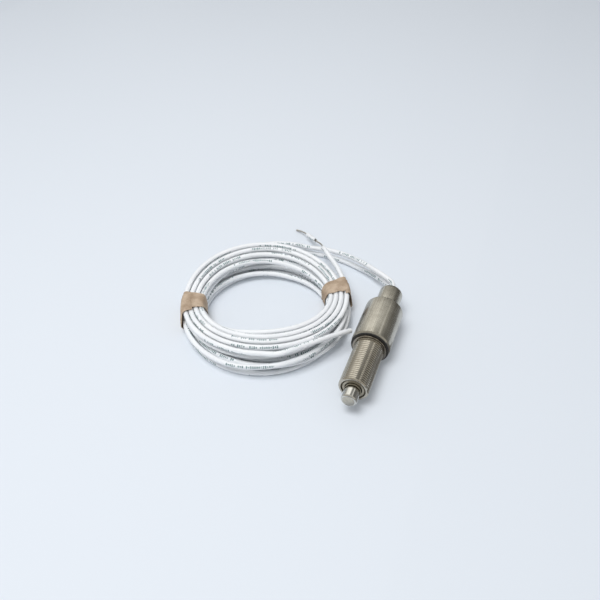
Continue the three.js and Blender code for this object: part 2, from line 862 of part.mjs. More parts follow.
add(body, "main_housing", housingShape(), nickel);
add(body, "threaded_sleeve", sleeveShape(), nickel);
add(body, "gasket_washer",
  washerShape(gasketRadius, threadRadius, gasketY, gasketThickness, gasketEdge, bodySides), darkRubber);
add(body, "lock_ring",
  washerShape(lockRingRadius, threadRadius, lockRingY, lockRingThickness, lockRingEdge, bodySides), nickel);
add(body, "sleeve_seal", ring(sealSection, sleeveSealRadius, sleeveRearY + fit + sealSection / 2, innerSides),
  blackRubber);
add(body, "insulating_liner",
  tubeShape(linerRadius, linerBore, mouthY + linerSetback, sleeveRearY, 0, innerSides), fluoropolymer);
add(body, "guard_tube",
  tubeShape(guardRadius, guardBore, mouthY + guardSetback, sleeveRearY, guardLip, bodySides), nickel);
add(body, "sensing_tip", snoutShape(), polished);
add(body, "tip_window", windowShape(), frostedQuartz);
add(body, "window_seal",
  tubeShape(windowRadius, snoutBore, sealY, sealY + sealThickness, 0, innerSides), blackRubber);
add(body, "tube_envelope", envelopeShape(), clearGlass);
add(body, "tube_base", baseShape(), ceramic);
add(body, "tube_cathode", cathodeShape(), tungsten);
add(body, "tube_anode", anodeShape(), tungsten);
add(body, "tube_spring", springShape(), springSteel);
add(body, "spring_seat", seatShape(), fibre);
add(body, "splice_liner",
  tubeShape(spliceLinerRadius, spliceLinerRadius - spliceLinerWall, spliceY, collarFrontY - fit, 0, innerSides),
  fibre);
add(body, "rear_collar", collarShape(), nickel);
add(body, "lead_grommet", grommetShape(), blackRubber);
add(body, "grommet_washer", grommetWasherShape(), fibre);
for (const [letter, side] of [["a", 1], ["b", -1]]) {
  const entryY = spliceRearY + fit;
  add(body, `hookup_wire_${letter}`, hookupShape(side), fluoropolymer);
  add(body, `splice_${letter}`, spliceShape(side), tinnedCopper);
  add(body, `lead_${letter}_entry`,
    rod(leadDiameter, rearY - entryY, entryY, side * leadOffset, leadSides), leadJacket);
}

add(group, "lead_a_run", freeLead(runCurveA), leadJacket);
add(group, "lead_b_run", freeLead(runCurveB), leadJacket);
add(group, "lead_a_coil", tubeThrough(windingA.centres, leadDiameter, coilSides), leadJacket);
add(group, "lead_b_coil", tubeThrough(windingB.centres, leadDiameter, coilSides), leadJacket);
add(group, "lead_a_tail", freeLead(tailCurveA), leadJacket);
add(group, "lead_b_tail", freeLead(tailCurveB), leadJacket);
add(group, "lead_a_strands",
  swept(bareCurve, conductorDiameter, leadSides, stepsFor(bareCurve, conductorDiameter)), tinnedCopper);
add(group, "lead_a_slug",
  swept(slugCurve(), leadDiameter, leadSides, 4, conductorDiameter + fit + fit), leadJacket);
add(group, "tape_band_left", tie(leftTieAngle), kraftPaper);
add(group, "tape_band_right", tie(rightTieAngle), kraftPaper);

const windingLength = (winding) => new THREE.CatmullRomCurve3(winding.centres).getLength();
const lengthA = runCurveA.getLength() + windingLength(windingA) + tailCurveA.getLength();
const lengthB = runCurveB.getLength() + windingLength(windingB) + tailCurveB.getLength();
console.log("lead A outside the collar", lengthA.toFixed(0), "mm");
console.log("lead B outside the collar", lengthB.toFixed(0), "mm");
console.log("bare end of lead A", bareCurve.getLength().toFixed(0), "mm");

export default group;
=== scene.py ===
# %% [markdown]
# # A flame sensor probe and its coiled leads
#
# The object is a metal probe, turned from bar stock, that lies on a pale table. Its sensing tip points
# towards the camera. Two white insulated leads leave its rear collar and are wound together in a coil,
# which two bands of brown paper hold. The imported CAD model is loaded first, as a fixed frame: every piece
# made here sits in the same place, in metres, and takes the place of the faceted CAD piece it names.

import json
import math

import bpy
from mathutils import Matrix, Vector, noise


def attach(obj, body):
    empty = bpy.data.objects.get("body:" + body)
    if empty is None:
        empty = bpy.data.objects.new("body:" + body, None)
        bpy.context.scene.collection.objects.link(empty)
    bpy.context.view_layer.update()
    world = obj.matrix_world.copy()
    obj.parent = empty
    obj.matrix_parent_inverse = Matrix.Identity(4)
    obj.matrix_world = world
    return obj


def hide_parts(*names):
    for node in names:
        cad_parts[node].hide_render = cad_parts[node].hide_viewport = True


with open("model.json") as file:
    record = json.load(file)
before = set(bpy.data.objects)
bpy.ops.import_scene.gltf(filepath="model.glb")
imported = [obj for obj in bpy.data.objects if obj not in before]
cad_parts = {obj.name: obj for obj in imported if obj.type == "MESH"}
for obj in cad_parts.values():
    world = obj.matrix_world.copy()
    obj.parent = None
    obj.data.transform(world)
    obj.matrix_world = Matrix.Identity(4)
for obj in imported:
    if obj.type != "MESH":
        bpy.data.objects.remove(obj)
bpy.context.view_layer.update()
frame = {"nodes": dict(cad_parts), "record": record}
MM, INCH = 0.001, 25.4


# %% [markdown]
# ## Small tools
#
# Selecting one piece, switching to edit mode, mending a mesh, shading it and applying a modifier come up in
# many steps, so each is written once, as a short function.

# %% Small tools
def select_only(piece):
    bpy.ops.object.select_all(action="DESELECT")
    bpy.context.view_layer.objects.active = piece
    piece.select_set(True)


def mode(kind):
    bpy.ops.object.mode_set(mode=kind)


def all_of_mesh():
    bpy.ops.mesh.select_all(action="SELECT")


def faces_out():
    all_of_mesh()
    bpy.ops.mesh.normals_make_consistent(inside=False)


def mend_mesh(distance):
    """In edit mode: merges points that lie on each other and points the faces out."""
    all_of_mesh()
    bpy.ops.mesh.remove_doubles(threshold=distance)
    faces_out()


def shade(degrees):
    """Smooth shading, but for edges sharper than an angle."""
    bpy.ops.object.shade_smooth_by_angle(angle=math.radians(degrees))


def modify(piece, kind, **settings):
    """Gives a piece one modifier with its settings, and applies it."""
    select_only(piece)
    modifier = piece.modifiers.new(kind, kind)
    for setting, value in settings.items():
        setattr(modifier, setting, value)
    bpy.ops.object.modifier_apply(modifier=modifier.name)


print("small tools ready")


# %% [markdown]
# ## The camera
#
# A photograph can be matched only from where it was taken. The camera was found from the ellipses that the
# turned steps of the probe make in the picture: it looks down at 43 degrees, from 20 degrees to the right
# of the probe's axis, half a metre away. A 42 mm lens on a 36 mm sensor gives the same perspective.

# %% Camera
CAMERA_PLACE = (0.06256, -0.30529, 0.33691)
CAMERA_DOWN, CAMERA_AROUND = 43.0, 20.04
LENS, SENSOR = 42, 36
CLIP_NEAR, CLIP_FAR = 0.01, 20

bpy.ops.object.camera_add(
    location=CAMERA_PLACE,
    rotation=(math.radians(90 - CAMERA_DOWN), 0, math.radians(CAMERA_AROUND)),
)
camera = bpy.context.object
camera.name = "photo_camera"
camera.data.lens, camera.data.sensor_width = LENS, SENSOR
camera.data.clip_start, camera.data.clip_end = CLIP_NEAR, CLIP_FAR
bpy.context.scene.camera = camera
print("camera lens", camera.data.lens, "mm")


# %% [markdown]
# ## Writing a finish as arithmetic
#
# A material in Blender is a graph of nodes. Drawing that graph in Python is easier to read as plain sums,
# so a small class wraps one value in the graph and adds a Math node whenever two values meet. A second
# class holds the material itself, and one method of it adds any other kind of node.

# %% Values and finishes
def operator(operation):
    """What a sign such as + or * does between two values: it adds a Math node."""
    return lambda value, other: value.finish.maths(operation, value, other)


class Value:
    """One value inside a finish. Sums and products of values add their own Math nodes."""

    def __init__(self, finish, socket):
        self.finish, self.socket = finish, socket

    __add__ = __radd__ = operator("ADD")
    __sub__ = operator("SUBTRACT")
    __mul__ = __rmul__ = operator("MULTIPLY")
    __truediv__ = operator("DIVIDE")
    __gt__, __lt__ = operator("GREATER_THAN"), operator("LESS_THAN")


class Finish:
    """A material that is drawn with nodes and painted on to one or more pieces."""

    def __init__(self, name, **constants):
        self.material = bpy.data.materials.new(name)
        self.material.use_nodes = True
        self.tree = self.material.node_tree
        self.surface = self.tree.nodes["Principled BSDF"]
        for socket, value in constants.items():
            self.surface.inputs[socket.replace("_", " ")].default_value = value

    def plug(self, socket, value):
        if isinstance(value, Value):
            self.tree.links.new(value.socket, socket)
        else:
            socket.default_value = value

    def node(self, kind, settings=None, values=None, output=0):
        made = self.tree.nodes.new(kind)
        for setting, value in (settings or {}).items():
            if setting == "stops":
                ramp = made.color_ramp
                while len(ramp.elements) < len(value):
                    ramp.elements.new(0.5)
                for element, (position, colour) in zip(ramp.elements, value):
                    element.position = position
                    element.color = (*colour, 1)
            else:
                setattr(made, setting, value)
        for socket, value in (values or {}).items():
            self.plug(made.inputs[socket], value)
        return Value(self, made.outputs[output])

    def maths(self, operation, *values):
        return self.node("ShaderNodeMath", {"operation": operation}, dict(enumerate(values)))

    def part(self, vector, axis):
        """One number of a vector: 0 for x, 1 for y and 2 for z."""
        return self.node("ShaderNodeSeparateXYZ", values={0: vector}, output=axis)

    def place(self, scale=(1, 1, 1), centre=(0, 0, 0)):
        """A point on the piece, in metres, shifted to a centre and then stretched."""
        spot = self.node("ShaderNodeTexCoord", output="Object")
        shift = tuple(-value * factor for value, factor in zip(centre, scale))
        return self.node(
            "ShaderNodeMapping",
            values={"Vector": spot, "Location": shift, "Scale": scale},
        )

    def noise(self, scale, detail=3.0, roughness=0.55, where=None):
        """Soft noise of a scale per metre, over the piece itself unless another place is given."""
        where = where or self.place()
        return self.node(
            "ShaderNodeTexNoise",
            values={"Vector": where, "Scale": scale, "Detail": detail, "Roughness": roughness},
        )

    def between(self, share, first, second):
        """A colour between two colours."""
        return self.node(
            "ShaderNodeMix",
            {"data_type": "RGBA"},
            {0: share, 6: as_colour(first), 7: as_colour(second)},
            output=2,
        )

    def step(self, value, low, high, smallest=0.0, largest=1.0):
        """A smooth change from one number to another as value goes from low to high."""
        return self.node(
            "ShaderNodeMapRange",
            {"interpolation_type": "SMOOTHSTEP"},
            {0: value, 1: low, 2: high, 3: smallest, 4: largest},
        )

    def colour(self, value):
        self.plug(self.surface.inputs["Base Color"], as_colour(value))

    def roughness(self, value):
        self.plug(self.surface.inputs["Roughness"], value)

    def relief(self, height, depth, strength=1.0):
        normal = self.node(
            "ShaderNodeBump",
            values={"Height": height, "Distance": depth, "Strength": strength},
        )
        self.plug(self.surface.inputs["Normal"], normal)

    def glow_mix(self, glow, share=None):
        """Sends a glow to the output, alone or mixed by a share over the surface."""
        link = self.tree.links.new
        shader = glow.outputs["Emission"]
        if share:
            mixed = self.tree.nodes.new("ShaderNodeMixShader")
            self.plug(mixed.inputs[0], share)
            link(self.surface.outputs["BSDF"], mixed.inputs[1])
            link(shader, mixed.inputs[2])
            shader = mixed.outputs["Shader"]
        link(shader, self.tree.nodes["Material Output"].inputs["Surface"])

    def paint(self, piece):
        piece.data.materials.clear()
        piece.data.materials.append(self.material)


def as_colour(value):
    """A colour with its fourth number, or a value that is one already."""
    return value if isinstance(value, Value) else (*value, 1)


def shaded(colour, level):
    """A colour made lighter or darker."""
    return tuple(level * value for value in colour)


# %% Speckled finishes
def speckled(name, light, dark, specks, rough, relief=None, detail=3.0, metal=0.0):
    """Two shades in fine specks of a scale between two levels, rougher where dark, raised by a relief."""
    finish = Finish(name, Metallic=metal)
    scale, low, high = specks
    speck = finish.step(finish.noise(scale, detail), low, high)
    finish.colour(finish.between(speck, light, dark))
    smoothest, rise = rough
    finish.roughness(smoothest + rise * speck)
    if relief:
        finish.relief(speck, *relief)
    return finish


# %% [markdown]
# ## The table and the light
#
# The probe lies on a pale, slightly blue table. One broad lamp hangs high on the left, a little in front,
# and an even sky fills in, so that the shadows are narrow and stay close to the pieces. A metal cylinder is
# a mirror in one direction: it shows whatever is round it as streaks along its length. So a long curtain is
# bent over the probe, which only reflections can see. Its brightness changes with the angle round the
# probe's axis: on the sleeve a broad light band on the left, dark bands with one thin light line between
# them on the right, and further back, where the housing mirrors it, the same bands but softer. Matt cards
# close to the table do the same for what the metal mirrors low down.

# %% Table
TABLE_COLOUR = (0.745, 0.790, 0.845)
TABLE_SIZE, TABLE_HEIGHT = (6, 6), -0.0001
CLOUD_SCALE, CLOUD_LEVEL = 3.0, 0.97
EVEN_SHARE = 0.11


def stage_plane(name, size, place, turn=(0, 0, 0)):
    bpy.ops.mesh.primitive_plane_add(size=1, location=place, rotation=turn)
    plane = bpy.context.object
    plane.name = name
    plane.scale = (*size, 1)
    return plane


table_top = stage_plane("table_top", TABLE_SIZE, (0, 0, TABLE_HEIGHT))
table_finish = Finish("pale_table", Roughness=0.6, Specular_IOR_Level=0.2)
cloud = table_finish.noise(CLOUD_SCALE, detail=2.0)
table_finish.colour(table_finish.between(cloud, shaded(TABLE_COLOUR, CLOUD_LEVEL), TABLE_COLOUR))
rays = table_finish.tree.nodes.new("ShaderNodeLightPath").outputs
seen = [Value(table_finish, rays[f"Is {ray} Ray"]) for ray in ("Camera", "Glossy", "Transmission")]
even = table_finish.tree.nodes.new("ShaderNodeEmission")
even.inputs["Color"].default_value = as_colour(TABLE_COLOUR)
table_finish.glow_mix(even, (seen[0] + seen[1] + seen[2]) * EVEN_SHARE)
table_finish.paint(table_top)
print("table colour", TABLE_COLOUR)

# %% Lamp
KEY_PLACE, KEY_AIM = Vector((-0.27, -0.36, 1.32)), Vector((-0.04, 0.05, 0))
KEY_SIZE, KEY_POWER = 0.7, 13.7

bpy.ops.object.light_add(type="AREA", location=KEY_PLACE)
key_light = bpy.context.object
key_light.name = "key_light"
key_light.data.size, key_light.data.energy = KEY_SIZE, KEY_POWER
key_light.rotation_euler = (KEY_AIM - KEY_PLACE).to_track_quat("-Z", "Y").to_euler()
key_light.visible_glossy = False
print("lamp:", key_light.name, KEY_POWER, "W")

# %% World
SKY_COLOUR, SKY_STRENGTH = (0.95, 0.97, 1.0), 0.45

world = bpy.data.worlds.new("studio")
world.use_nodes = True
bpy.context.scene.world = world
nodes, link = world.node_tree.nodes, world.node_tree.links.new
sky, backdrop = nodes["Background"], nodes.new("ShaderNodeBackground")
sky.inputs["Color"].default_value = as_colour(SKY_COLOUR)
sky.inputs["Strength"].default_value = SKY_STRENGTH
backdrop.inputs["Color"].default_value = as_colour(TABLE_COLOUR)
chosen = nodes.new("ShaderNodeMixShader")
link(nodes.new("ShaderNodeLightPath").outputs["Is Camera Ray"], chosen.inputs[0])
link(sky.outputs[0], chosen.inputs[1])
link(backdrop.outputs[0], chosen.inputs[2])
link(chosen.outputs[0], nodes["World Output"].inputs["Surface"])
bpy.context.scene.view_settings.view_transform = "Standard"
print("sky", SKY_COLOUR, "at", SKY_STRENGTH)

# %% The curtain that mirrors see
CURTAIN_RADIUS, CURTAIN_SIDES = 0.6, 180
CURTAIN_FRONT, CURTAIN_REAR = -1.2, 2.2
CURTAIN_HEM = 0.002
CURTAIN_STRENGTH = 1.3
SLEEVE_BANDS = [
    (-90, 0.42), (-78, 0.30), (-66, 0.36), (-54, 0.64), (-44, 0.92), (-15, 1.00), (-5, 0.96), (1, 0.26),
    (23, 0.22), (27, 0.68), (35, 0.68), (39, 0.13), (62, 0.11), (76, 0.16), (90, 0.18),
]
HOUSING_BANDS = [
    (-90, 0.62), (-70, 0.68), (-56, 0.82), (-40, 0.92), (-18, 0.90), (-8, 0.70), (17, 0.68), (22, 0.52),
    (27, 0.50), (30, 0.72), (36, 0.68), (40, 0.40), (52, 0.32), (63, 0.22), (78, 0.17), (90, 0.15),
]
BAND_TINT = (1.0, 0.985, 0.94)
HOUSING_FROM, HOUSING_TO = 0.545, 0.570
FRONT_LEVEL, FRONT_TINT = 0.42, (1.0, 0.97, 0.90)
FRONT_END, BANDS_START = -0.08, 0.10


def curtain_finish():
    """Glow by the angle round the probe's axis, in degrees from straight up, positive to the right."""
    finish = Finish("curtain")
    finish.tree.nodes.remove(finish.surface)
    spot = finish.node("ShaderNodeTexCoord", output="Object")
    right, along, up = (finish.part(spot, axis) for axis in range(3))
    share = finish.maths("ARCTAN2", right, up) / math.pi + 0.5
    ramps = []
    for table in (SLEEVE_BANDS, HOUSING_BANDS):
        stops = [((degrees + 90) / 180, shaded(BAND_TINT, level)) for degrees, level in table]
        ramps.append(finish.node("ShaderNodeValToRGB", {"stops": stops}, {0: share}))
    bands = finish.between(finish.step(along, HOUSING_FROM, HOUSING_TO), *ramps)
    front = shaded(FRONT_TINT, FRONT_LEVEL)
    glow = finish.tree.nodes.new("ShaderNodeEmission")
    bright = finish.between(finish.step(along, FRONT_END, BANDS_START), front, bands)
    finish.plug(glow.inputs["Color"], bright)
    glow.inputs["Strength"].default_value = CURTAIN_STRENGTH
    finish.glow_mix(glow)
    return finish


bpy.ops.mesh.primitive_cylinder_add(
    vertices=CURTAIN_SIDES,
    radius=CURTAIN_RADIUS,
    depth=CURTAIN_REAR - CURTAIN_FRONT,
    end_fill_type="NOTHING",
    location=(0, (CURTAIN_REAR + CURTAIN_FRONT) / 2, 0),
    rotation=(math.radians(90), 0, 0),
)
curtain = bpy.context.object
curtain.name = "reflection_curtain"
bpy.ops.object.transform_apply()
mode("EDIT")
all_of_mesh()
bpy.ops.mesh.bisect(plane_co=(0, 0, CURTAIN_HEM), plane_no=(0, 0, 1), clear_inner=True)
mode("OBJECT")
curtain_finish().paint(curtain)
print("curtain faces", len(curtain.data.polygons))

# %% Matt cards low behind, in front and on the right
CARDS = [
    ("rear_card", (3.0, 0.66), (0, 0.9, 0.331), 0.05, 90),
    ("front_card", (3.0, 0.5), (0, -1.15, 0.251), 0.13, 90),
    ("right_card", (0.5, 1.0), (0.30, 0.25, 0.0005), 0.26, 0),
    ("near_right_card", (0.032, 0.075), (0.034, -0.020, 0.0005), 0.24, 0),
]
CARD_GRAIN, CARD_SHADE = 2.0, 0.8


def mirror_only(card):
    card.visible_camera = card.visible_diffuse = False
    card.visible_transmission = card.visible_shadow = False


def matt_card(name, size, place, level, upright):
    card = stage_plane(name, size, place, (math.radians(upright), 0, 0))
    finish = Finish(name, Roughness=1.0, Specular_IOR_Level=0.0)
    grey = (level,) * 3
    finish.colour(finish.between(finish.noise(CARD_GRAIN), grey, shaded(grey, CARD_SHADE)))
    finish.paint(card)
    mirror_only(card)


mirror_only(curtain)
for card in CARDS:
    matt_card(*card)
print("cards:", len(CARDS))


# %% [markdown]
# ## The leads' route
#
# The two leads are the most characteristic part of the picture. Each one leaves the collar, crosses to the
# coil, and is wound eight times in four layers of two turns, the two leads lying side by side. A winding is
# best written as a formula: the angle grows steadily, the radius runs out and in across a layer, and the
# height climbs one layer each time the radius turns back. The bundle is tight where the paper bands hold
# it and looser in between. Real turns aren't even, so each layer then strays by a millimetre or two, as the
# photograph shows. The free stretches are lists of points, read from the photograph.

# %% Winding formula
LEAD_DIAMETER = 3.5
LEAD_RADIUS = LEAD_DIAMETER / 2
LEAD_GAP = 0.51
COIL_X, COIL_Y = -76.7, 9.3
RIGHT_TIE, LEFT_TIE = 36.5, 200.0
WINDING_START = 88.0
LAYERS, TURNS_PER_LAYER = 4, 2
STRANDS_ACROSS = 4
INNER_RIGHT_TIE, INNER_LEFT_TIE, INNER_FAR, INNER_NEAR = 40.3, 39.0, 40.3, 28.0
SPREAD_FAR, SPREAD_NEAR, SPLAY_NEAR = 2.2, 2.15, 1.2
LIE_FAR, LIE_NEAR = 1.0, 1.4
BULGE_POWER = 1.2
CLIMB_TURNS = 0.5
FLOOR_CLEARANCE, TIE_LIFT = 0.05, 0.96
POINTS_PER_TURN = 72


def eased(share):
    share = min(max(share, 0.0), 1.0)
    return share * share * (3 - 2 * share)


def far_side(angle):
    return RIGHT_TIE <= angle % 360 < LEFT_TIE


def bundle_at(angle, level):
    """Inner radius, pitch across, step up and lowest point of the bundle at an angle, in mm."""
    turn = angle % 360
    if far_side(angle):
        share = (turn - RIGHT_TIE) / (LEFT_TIE - RIGHT_TIE)
        first, second, middle = INNER_RIGHT_TIE, INNER_LEFT_TIE, INNER_FAR
        spread, lie = SPREAD_FAR, LIE_FAR
    else:
        onward = turn + 360 if turn < RIGHT_TIE else turn
        share = (onward - LEFT_TIE) / (RIGHT_TIE + 360 - LEFT_TIE)
        first, second, middle = INNER_LEFT_TIE, INNER_RIGHT_TIE, INNER_NEAR
        spread = SPREAD_NEAR + SPLAY_NEAR * (LAYERS - 1 - 2 * level) / (LAYERS - 1)
        lie = LIE_NEAR
    bulge = math.sin(math.pi * min(max(share, 0), 1)) ** BULGE_POWER
    inner = first + (second - first) * eased(share) + bulge * (middle - (first + second) / 2)
    pitch = LEAD_DIAMETER + LEAD_GAP + bulge * spread
    step_up = LEAD_DIAMETER + LEAD_GAP + bulge * lie
    lowest = FLOOR_CLEARANCE + TIE_LIFT * (1 - bulge)
    return inner, pitch, step_up, lowest


# How the strands stray from an even winding, in mm: outwards at the far and the near side, for layers
# 0 to 3; together at the far side's outer edge; and in and up on the near side's inner edge.
FAR_STRAY = (-2.0, -2.0, -0.6, -1.0)
NEAR_STRAY = (0.3, 0.4, 0.9, -1.9)
CROWD_IN, CROWD_FROM, CROWD_WIDTH, CROWD_LEVEL = 0.9, 0.5, 0.25, 1.8
INNER_IN, INNER_RISE, INNER_WIDTH, INNER_LEVEL, INNER_HOLD = 1.2, 1.2, 0.22, 1.6, 0.4
THIRD_LAYER, LAYER_RISE = 2, 0.4
ENTRY_STRAY = 1.8
# Slow waves along a lead: rate by turns and rate by the lead's lag
SLOW_WAVE, QUICK_WAVE, UP_WAVE = (5.3, 9), (13.7, 4), (11.1, 5)
SWAY, QUICK_SHARE, UP_SHARE = 0.3, 0.8, 0.4
SQUEEZE, SQUEEZE_CORNERS = 0.07, 0.05
SETTLE_IN, SETTLE_OUT = 0.05, 0.08


def by_level(table, level):
    low = min(int(level), len(table) - 2)
    return table[low] + (table[low + 1] - table[low]) * (level - low)


def wave(rates, turns, lag):
    return math.sin(rates[0] * turns + rates[1] * lag)


def stray(angle, level, across, turns, lag, entry):
    """How far a strand lies out of and above its place in the even winding, in mm."""
    _, pitch, step_up, _ = bundle_at(angle, level)
    spread = SPREAD_FAR if far_side(angle) else SPREAD_NEAR
    loose = min((pitch - LEAD_DIAMETER - LEAD_GAP) / spread, 1.0)
    out = SWAY * (wave(SLOW_WAVE, turns, lag) + QUICK_SHARE * wave(QUICK_WAVE, turns, lag))
    up = UP_SHARE * SWAY * wave(UP_WAVE, turns, lag)
    if far_side(angle):
        crowd = CROWD_IN * eased((across - CROWD_FROM) / CROWD_WIDTH) * eased(level - CROWD_LEVEL)
        out += by_level(FAR_STRAY, level) - crowd
    else:
        inner = (1 - eased(across / INNER_WIDTH)) * eased(level - INNER_LEVEL)
        out += by_level(NEAR_STRAY, level) * (1 - INNER_HOLD * inner) - INNER_IN * inner
        above = level - THIRD_LAYER
        up += INNER_RISE * inner + LAYER_RISE * eased(above) - LAYER_RISE * eased(1 - abs(above))
    out += ENTRY_STRAY * entry * (1 - lag)
    tight = 1 - loose
    sideways, upward = 2 * across - 1, 2 * level / (LAYERS - 1) - 1
    drawn_in = (SQUEEZE + SQUEEZE_CORNERS * upward**2) * pitch * STRANDS_ACROSS / 2 * sideways
    drawn_down = (SQUEEZE + SQUEEZE_CORNERS * sideways**2) * level * step_up
    return out * loose - tight * drawn_in, up * loose - tight * drawn_down


def round_the_coil(angle, radius, height):
    """The point at an angle in degrees, a radius and a height, round the coil's middle."""
    turn = math.radians(angle)
    return Vector((COIL_X + radius * math.cos(turn), COIL_Y + radius * math.sin(turn), height))


def winding_point(turns, lag, entry_turns, entry_radius, entry_lift, last_turn=None):
    """A point of the winding, as evenly wound, or as the lead really lies if the last turn is given."""
    layer = min(int(turns // TURNS_PER_LAYER), LAYERS - 1)
    along = min(turns / TURNS_PER_LAYER - layer, 1)
    across = 1 - along if layer % 2 == 0 else along
    level = sum(
        eased((turns - k * TURNS_PER_LAYER) / CLIMB_TURNS + 0.5) for k in range(1, LAYERS)
    )
    angle = WINDING_START + 360 * (turns - lag)
    inner, pitch, step_up, lowest = bundle_at(angle, level)
    entry = 1 - eased((turns - lag) / entry_turns)
    radius = inner + LEAD_RADIUS + pitch * STRANDS_ACROSS * across + entry_radius * entry
    height = lowest + LEAD_RADIUS + level * step_up + entry_lift * entry
    if last_turn:
        out, up = stray(angle, level, across, turns, lag, entry)
        hold = eased((turns - lag) / SETTLE_IN) * eased((last_turn - turns) / SETTLE_OUT)
        radius, height = radius + out * hold, height + up * hold
    return round_the_coil(angle, radius, height)


def winding(lag, last_turn, entry, strays=False):
    count = round((last_turn - lag) * POINTS_PER_TURN)
    return [
        winding_point(lag + (last_turn - lag) * i / count, lag, *entry, last_turn if strays else None)
        for i in range(count + 1)
    ]


# %% Free stretches
AXIS_HEIGHT = 12.7
REAR_Y = 49.0
LEAD_OFFSET = 2.3
GROMMET_REAR_Y = 48.2
EXIT_STATIONS = (GROMMET_REAR_Y - 0.6, REAR_Y + 0.3, REAR_Y + 3.8)
LEAD_SPACING, FINER, TINY = 1.6, 3, 1e-9

RUN_A = [
    (-1.4, 57.0, 14.8), (-4.6, 60.2, 14.5), (-8.8, 63.2, 14.1), (-13.6, 66.5, 13.4),
    (-19.2, 70.2, 12.5), (-25.0, 73.8, 11.6), (-31.4, 77.4, 10.5), (-38.0, 80.6, 9.4),
    (-45.4, 83.4, 8.4), (-52.6, 84.8, 7.7), (-59.6, 85.1, 7.3),
]
RUN_B = [
    (-1.3, 57.0, 9.8), (-4.4, 60.6, 9.1), (-8.8, 64.4, 8.1), (-14.0, 68.3, 6.8),
    (-20.0, 72.4, 5.3), (-26.4, 76.2, 3.8), (-33.2, 79.4, 2.7), (-40.4, 82.0, 2.1),
    (-47.6, 83.6, 1.85), (-54.8, 84.4, 1.82), (-61.4, 84.6, 1.85),
]
TAIL_A = [
    (-43.4, 61.2, 14.9), (-47.3, 65.5, 14.8), (-51.3, 70.0, 14.4), (-54.6, 74.2, 13.7),
    (-57.4, 78.0, 12.9), (-60.0, 81.2, 12.0),
]
TAIL_B = [
    (-50.6, -35.2, 18.7), (-46.4, -32.2, 19.2), (-42.6, -28.8, 19.4), (-39.0, -25.2, 19.5),
    (-35.0, -20.8, 19.3), (-30.7, -15.8, 18.8), (-26.3, -10.4, 17.9), (-22.0, -4.7, 16.5),
    (-18.4, 0.6, 14.8), (-15.7, 4.7, 13.2),
]
BARE_A = [
    (-63.9, 86.6, 10.5), (-67.2, 89.2, 9.6), (-70.6, 92.2, 8.5), (-74.2, 95.5, 7.3),
    (-77.8, 98.9, 6.0), (-81.2, 102.0, 4.6), (-84.6, 104.8, 3.2), (-88.0, 107.0, 1.8),
    (-91.2, 108.2, 0.8),
]


def smooth_through(points, spacing):
    """Evenly spaced points on a smooth curve through a list of points (centripetal spline)."""
    points = [Vector(point) for point in points]
    ends = [2 * points[0] - points[1], *points, 2 * points[-1] - points[-2]]
    fine = []
    for p0, p1, p2, p3 in zip(ends, ends[1:], ends[2:], ends[3:]):
        t0, t1 = 0.0, math.sqrt((p1 - p0).length)
        t2 = t1 + math.sqrt((p2 - p1).length)
        t3 = t2 + math.sqrt((p3 - p2).length)
        steps = max(2, math.ceil((p2 - p1).length / spacing * FINER))
        for i in range(steps):
            t = t1 + (t2 - t1) * i / steps
            a1 = p0.lerp(p1, (t - t0) / (t1 - t0))
            a2 = p1.lerp(p2, (t - t1) / (t2 - t1))
            a3 = p2.lerp(p3, (t - t2) / (t3 - t2))
            b1 = a1.lerp(a2, (t - t0) / (t2 - t0))
            b2 = a2.lerp(a3, (t - t1) / (t3 - t1))
            fine.append(b1.lerp(b2, (t - t1) / (t2 - t1)))
    fine.append(points[-1])
    return evenly(fine, spacing)


def evenly(points, spacing):
    lengths = [0.0]
    for before, after in zip(points, points[1:]):
        lengths.append(lengths[-1] + (after - before).length)
    count = max(2, round(lengths[-1] / spacing))
    spread, k = [], 0
    for i in range(count + 1):
        target = lengths[-1] * i / count
        while k + 2 < len(points) and lengths[k + 1] < target:
            k += 1
        gap = max(lengths[k + 1] - lengths[k], TINY)
        spread.append(points[k].lerp(points[k + 1], min(max((target - lengths[k]) / gap, 0), 1)))
    return spread


def length_of(points):
    return sum((after - before).length for before, after in zip(points, points[1:]))


def lead_route(side, run, winding_of_lead, tail, strays=False):
    """Straight out of the grommet and the collar, over to the coil, round it, and on to the cut end."""
    height = AXIS_HEIGHT + side * LEAD_OFFSET
    way_out = [(0, y, height) for y in EXIT_STATIONS]
    return smooth_through([*way_out, *run, *winding(*winding_of_lead, strays), *tail], LEAD_SPACING)


WINDING_A = (0.0, 7.885, (0.27, 9.0, 5.0))
WINDING_B = (0.5, 8.05, (0.22, 15.0, 0.0))
LEAD_A = (1, RUN_A, WINDING_A, TAIL_A)
LEAD_B = (-1, RUN_B, WINDING_B, TAIL_B)

route_a, route_b = lead_route(*LEAD_A), lead_route(*LEAD_B)
laid_a, laid_b = lead_route(*LEAD_A, strays=True), lead_route(*LEAD_B, strays=True)
print("lead A", round(length_of(route_a)), "mm, lead B", round(length_of(route_b)), "mm")


# %% [markdown]
# ## The leads' jackets
#
# A lead is a long tube of one thickness. A curve with a round bevel makes exactly that, and turning it into
# a mesh gives it a UV map that runs once along its length and once round it. The material uses that map to
# print faint dark ticks along two sides of the jacket, as generic marks that spell nothing.

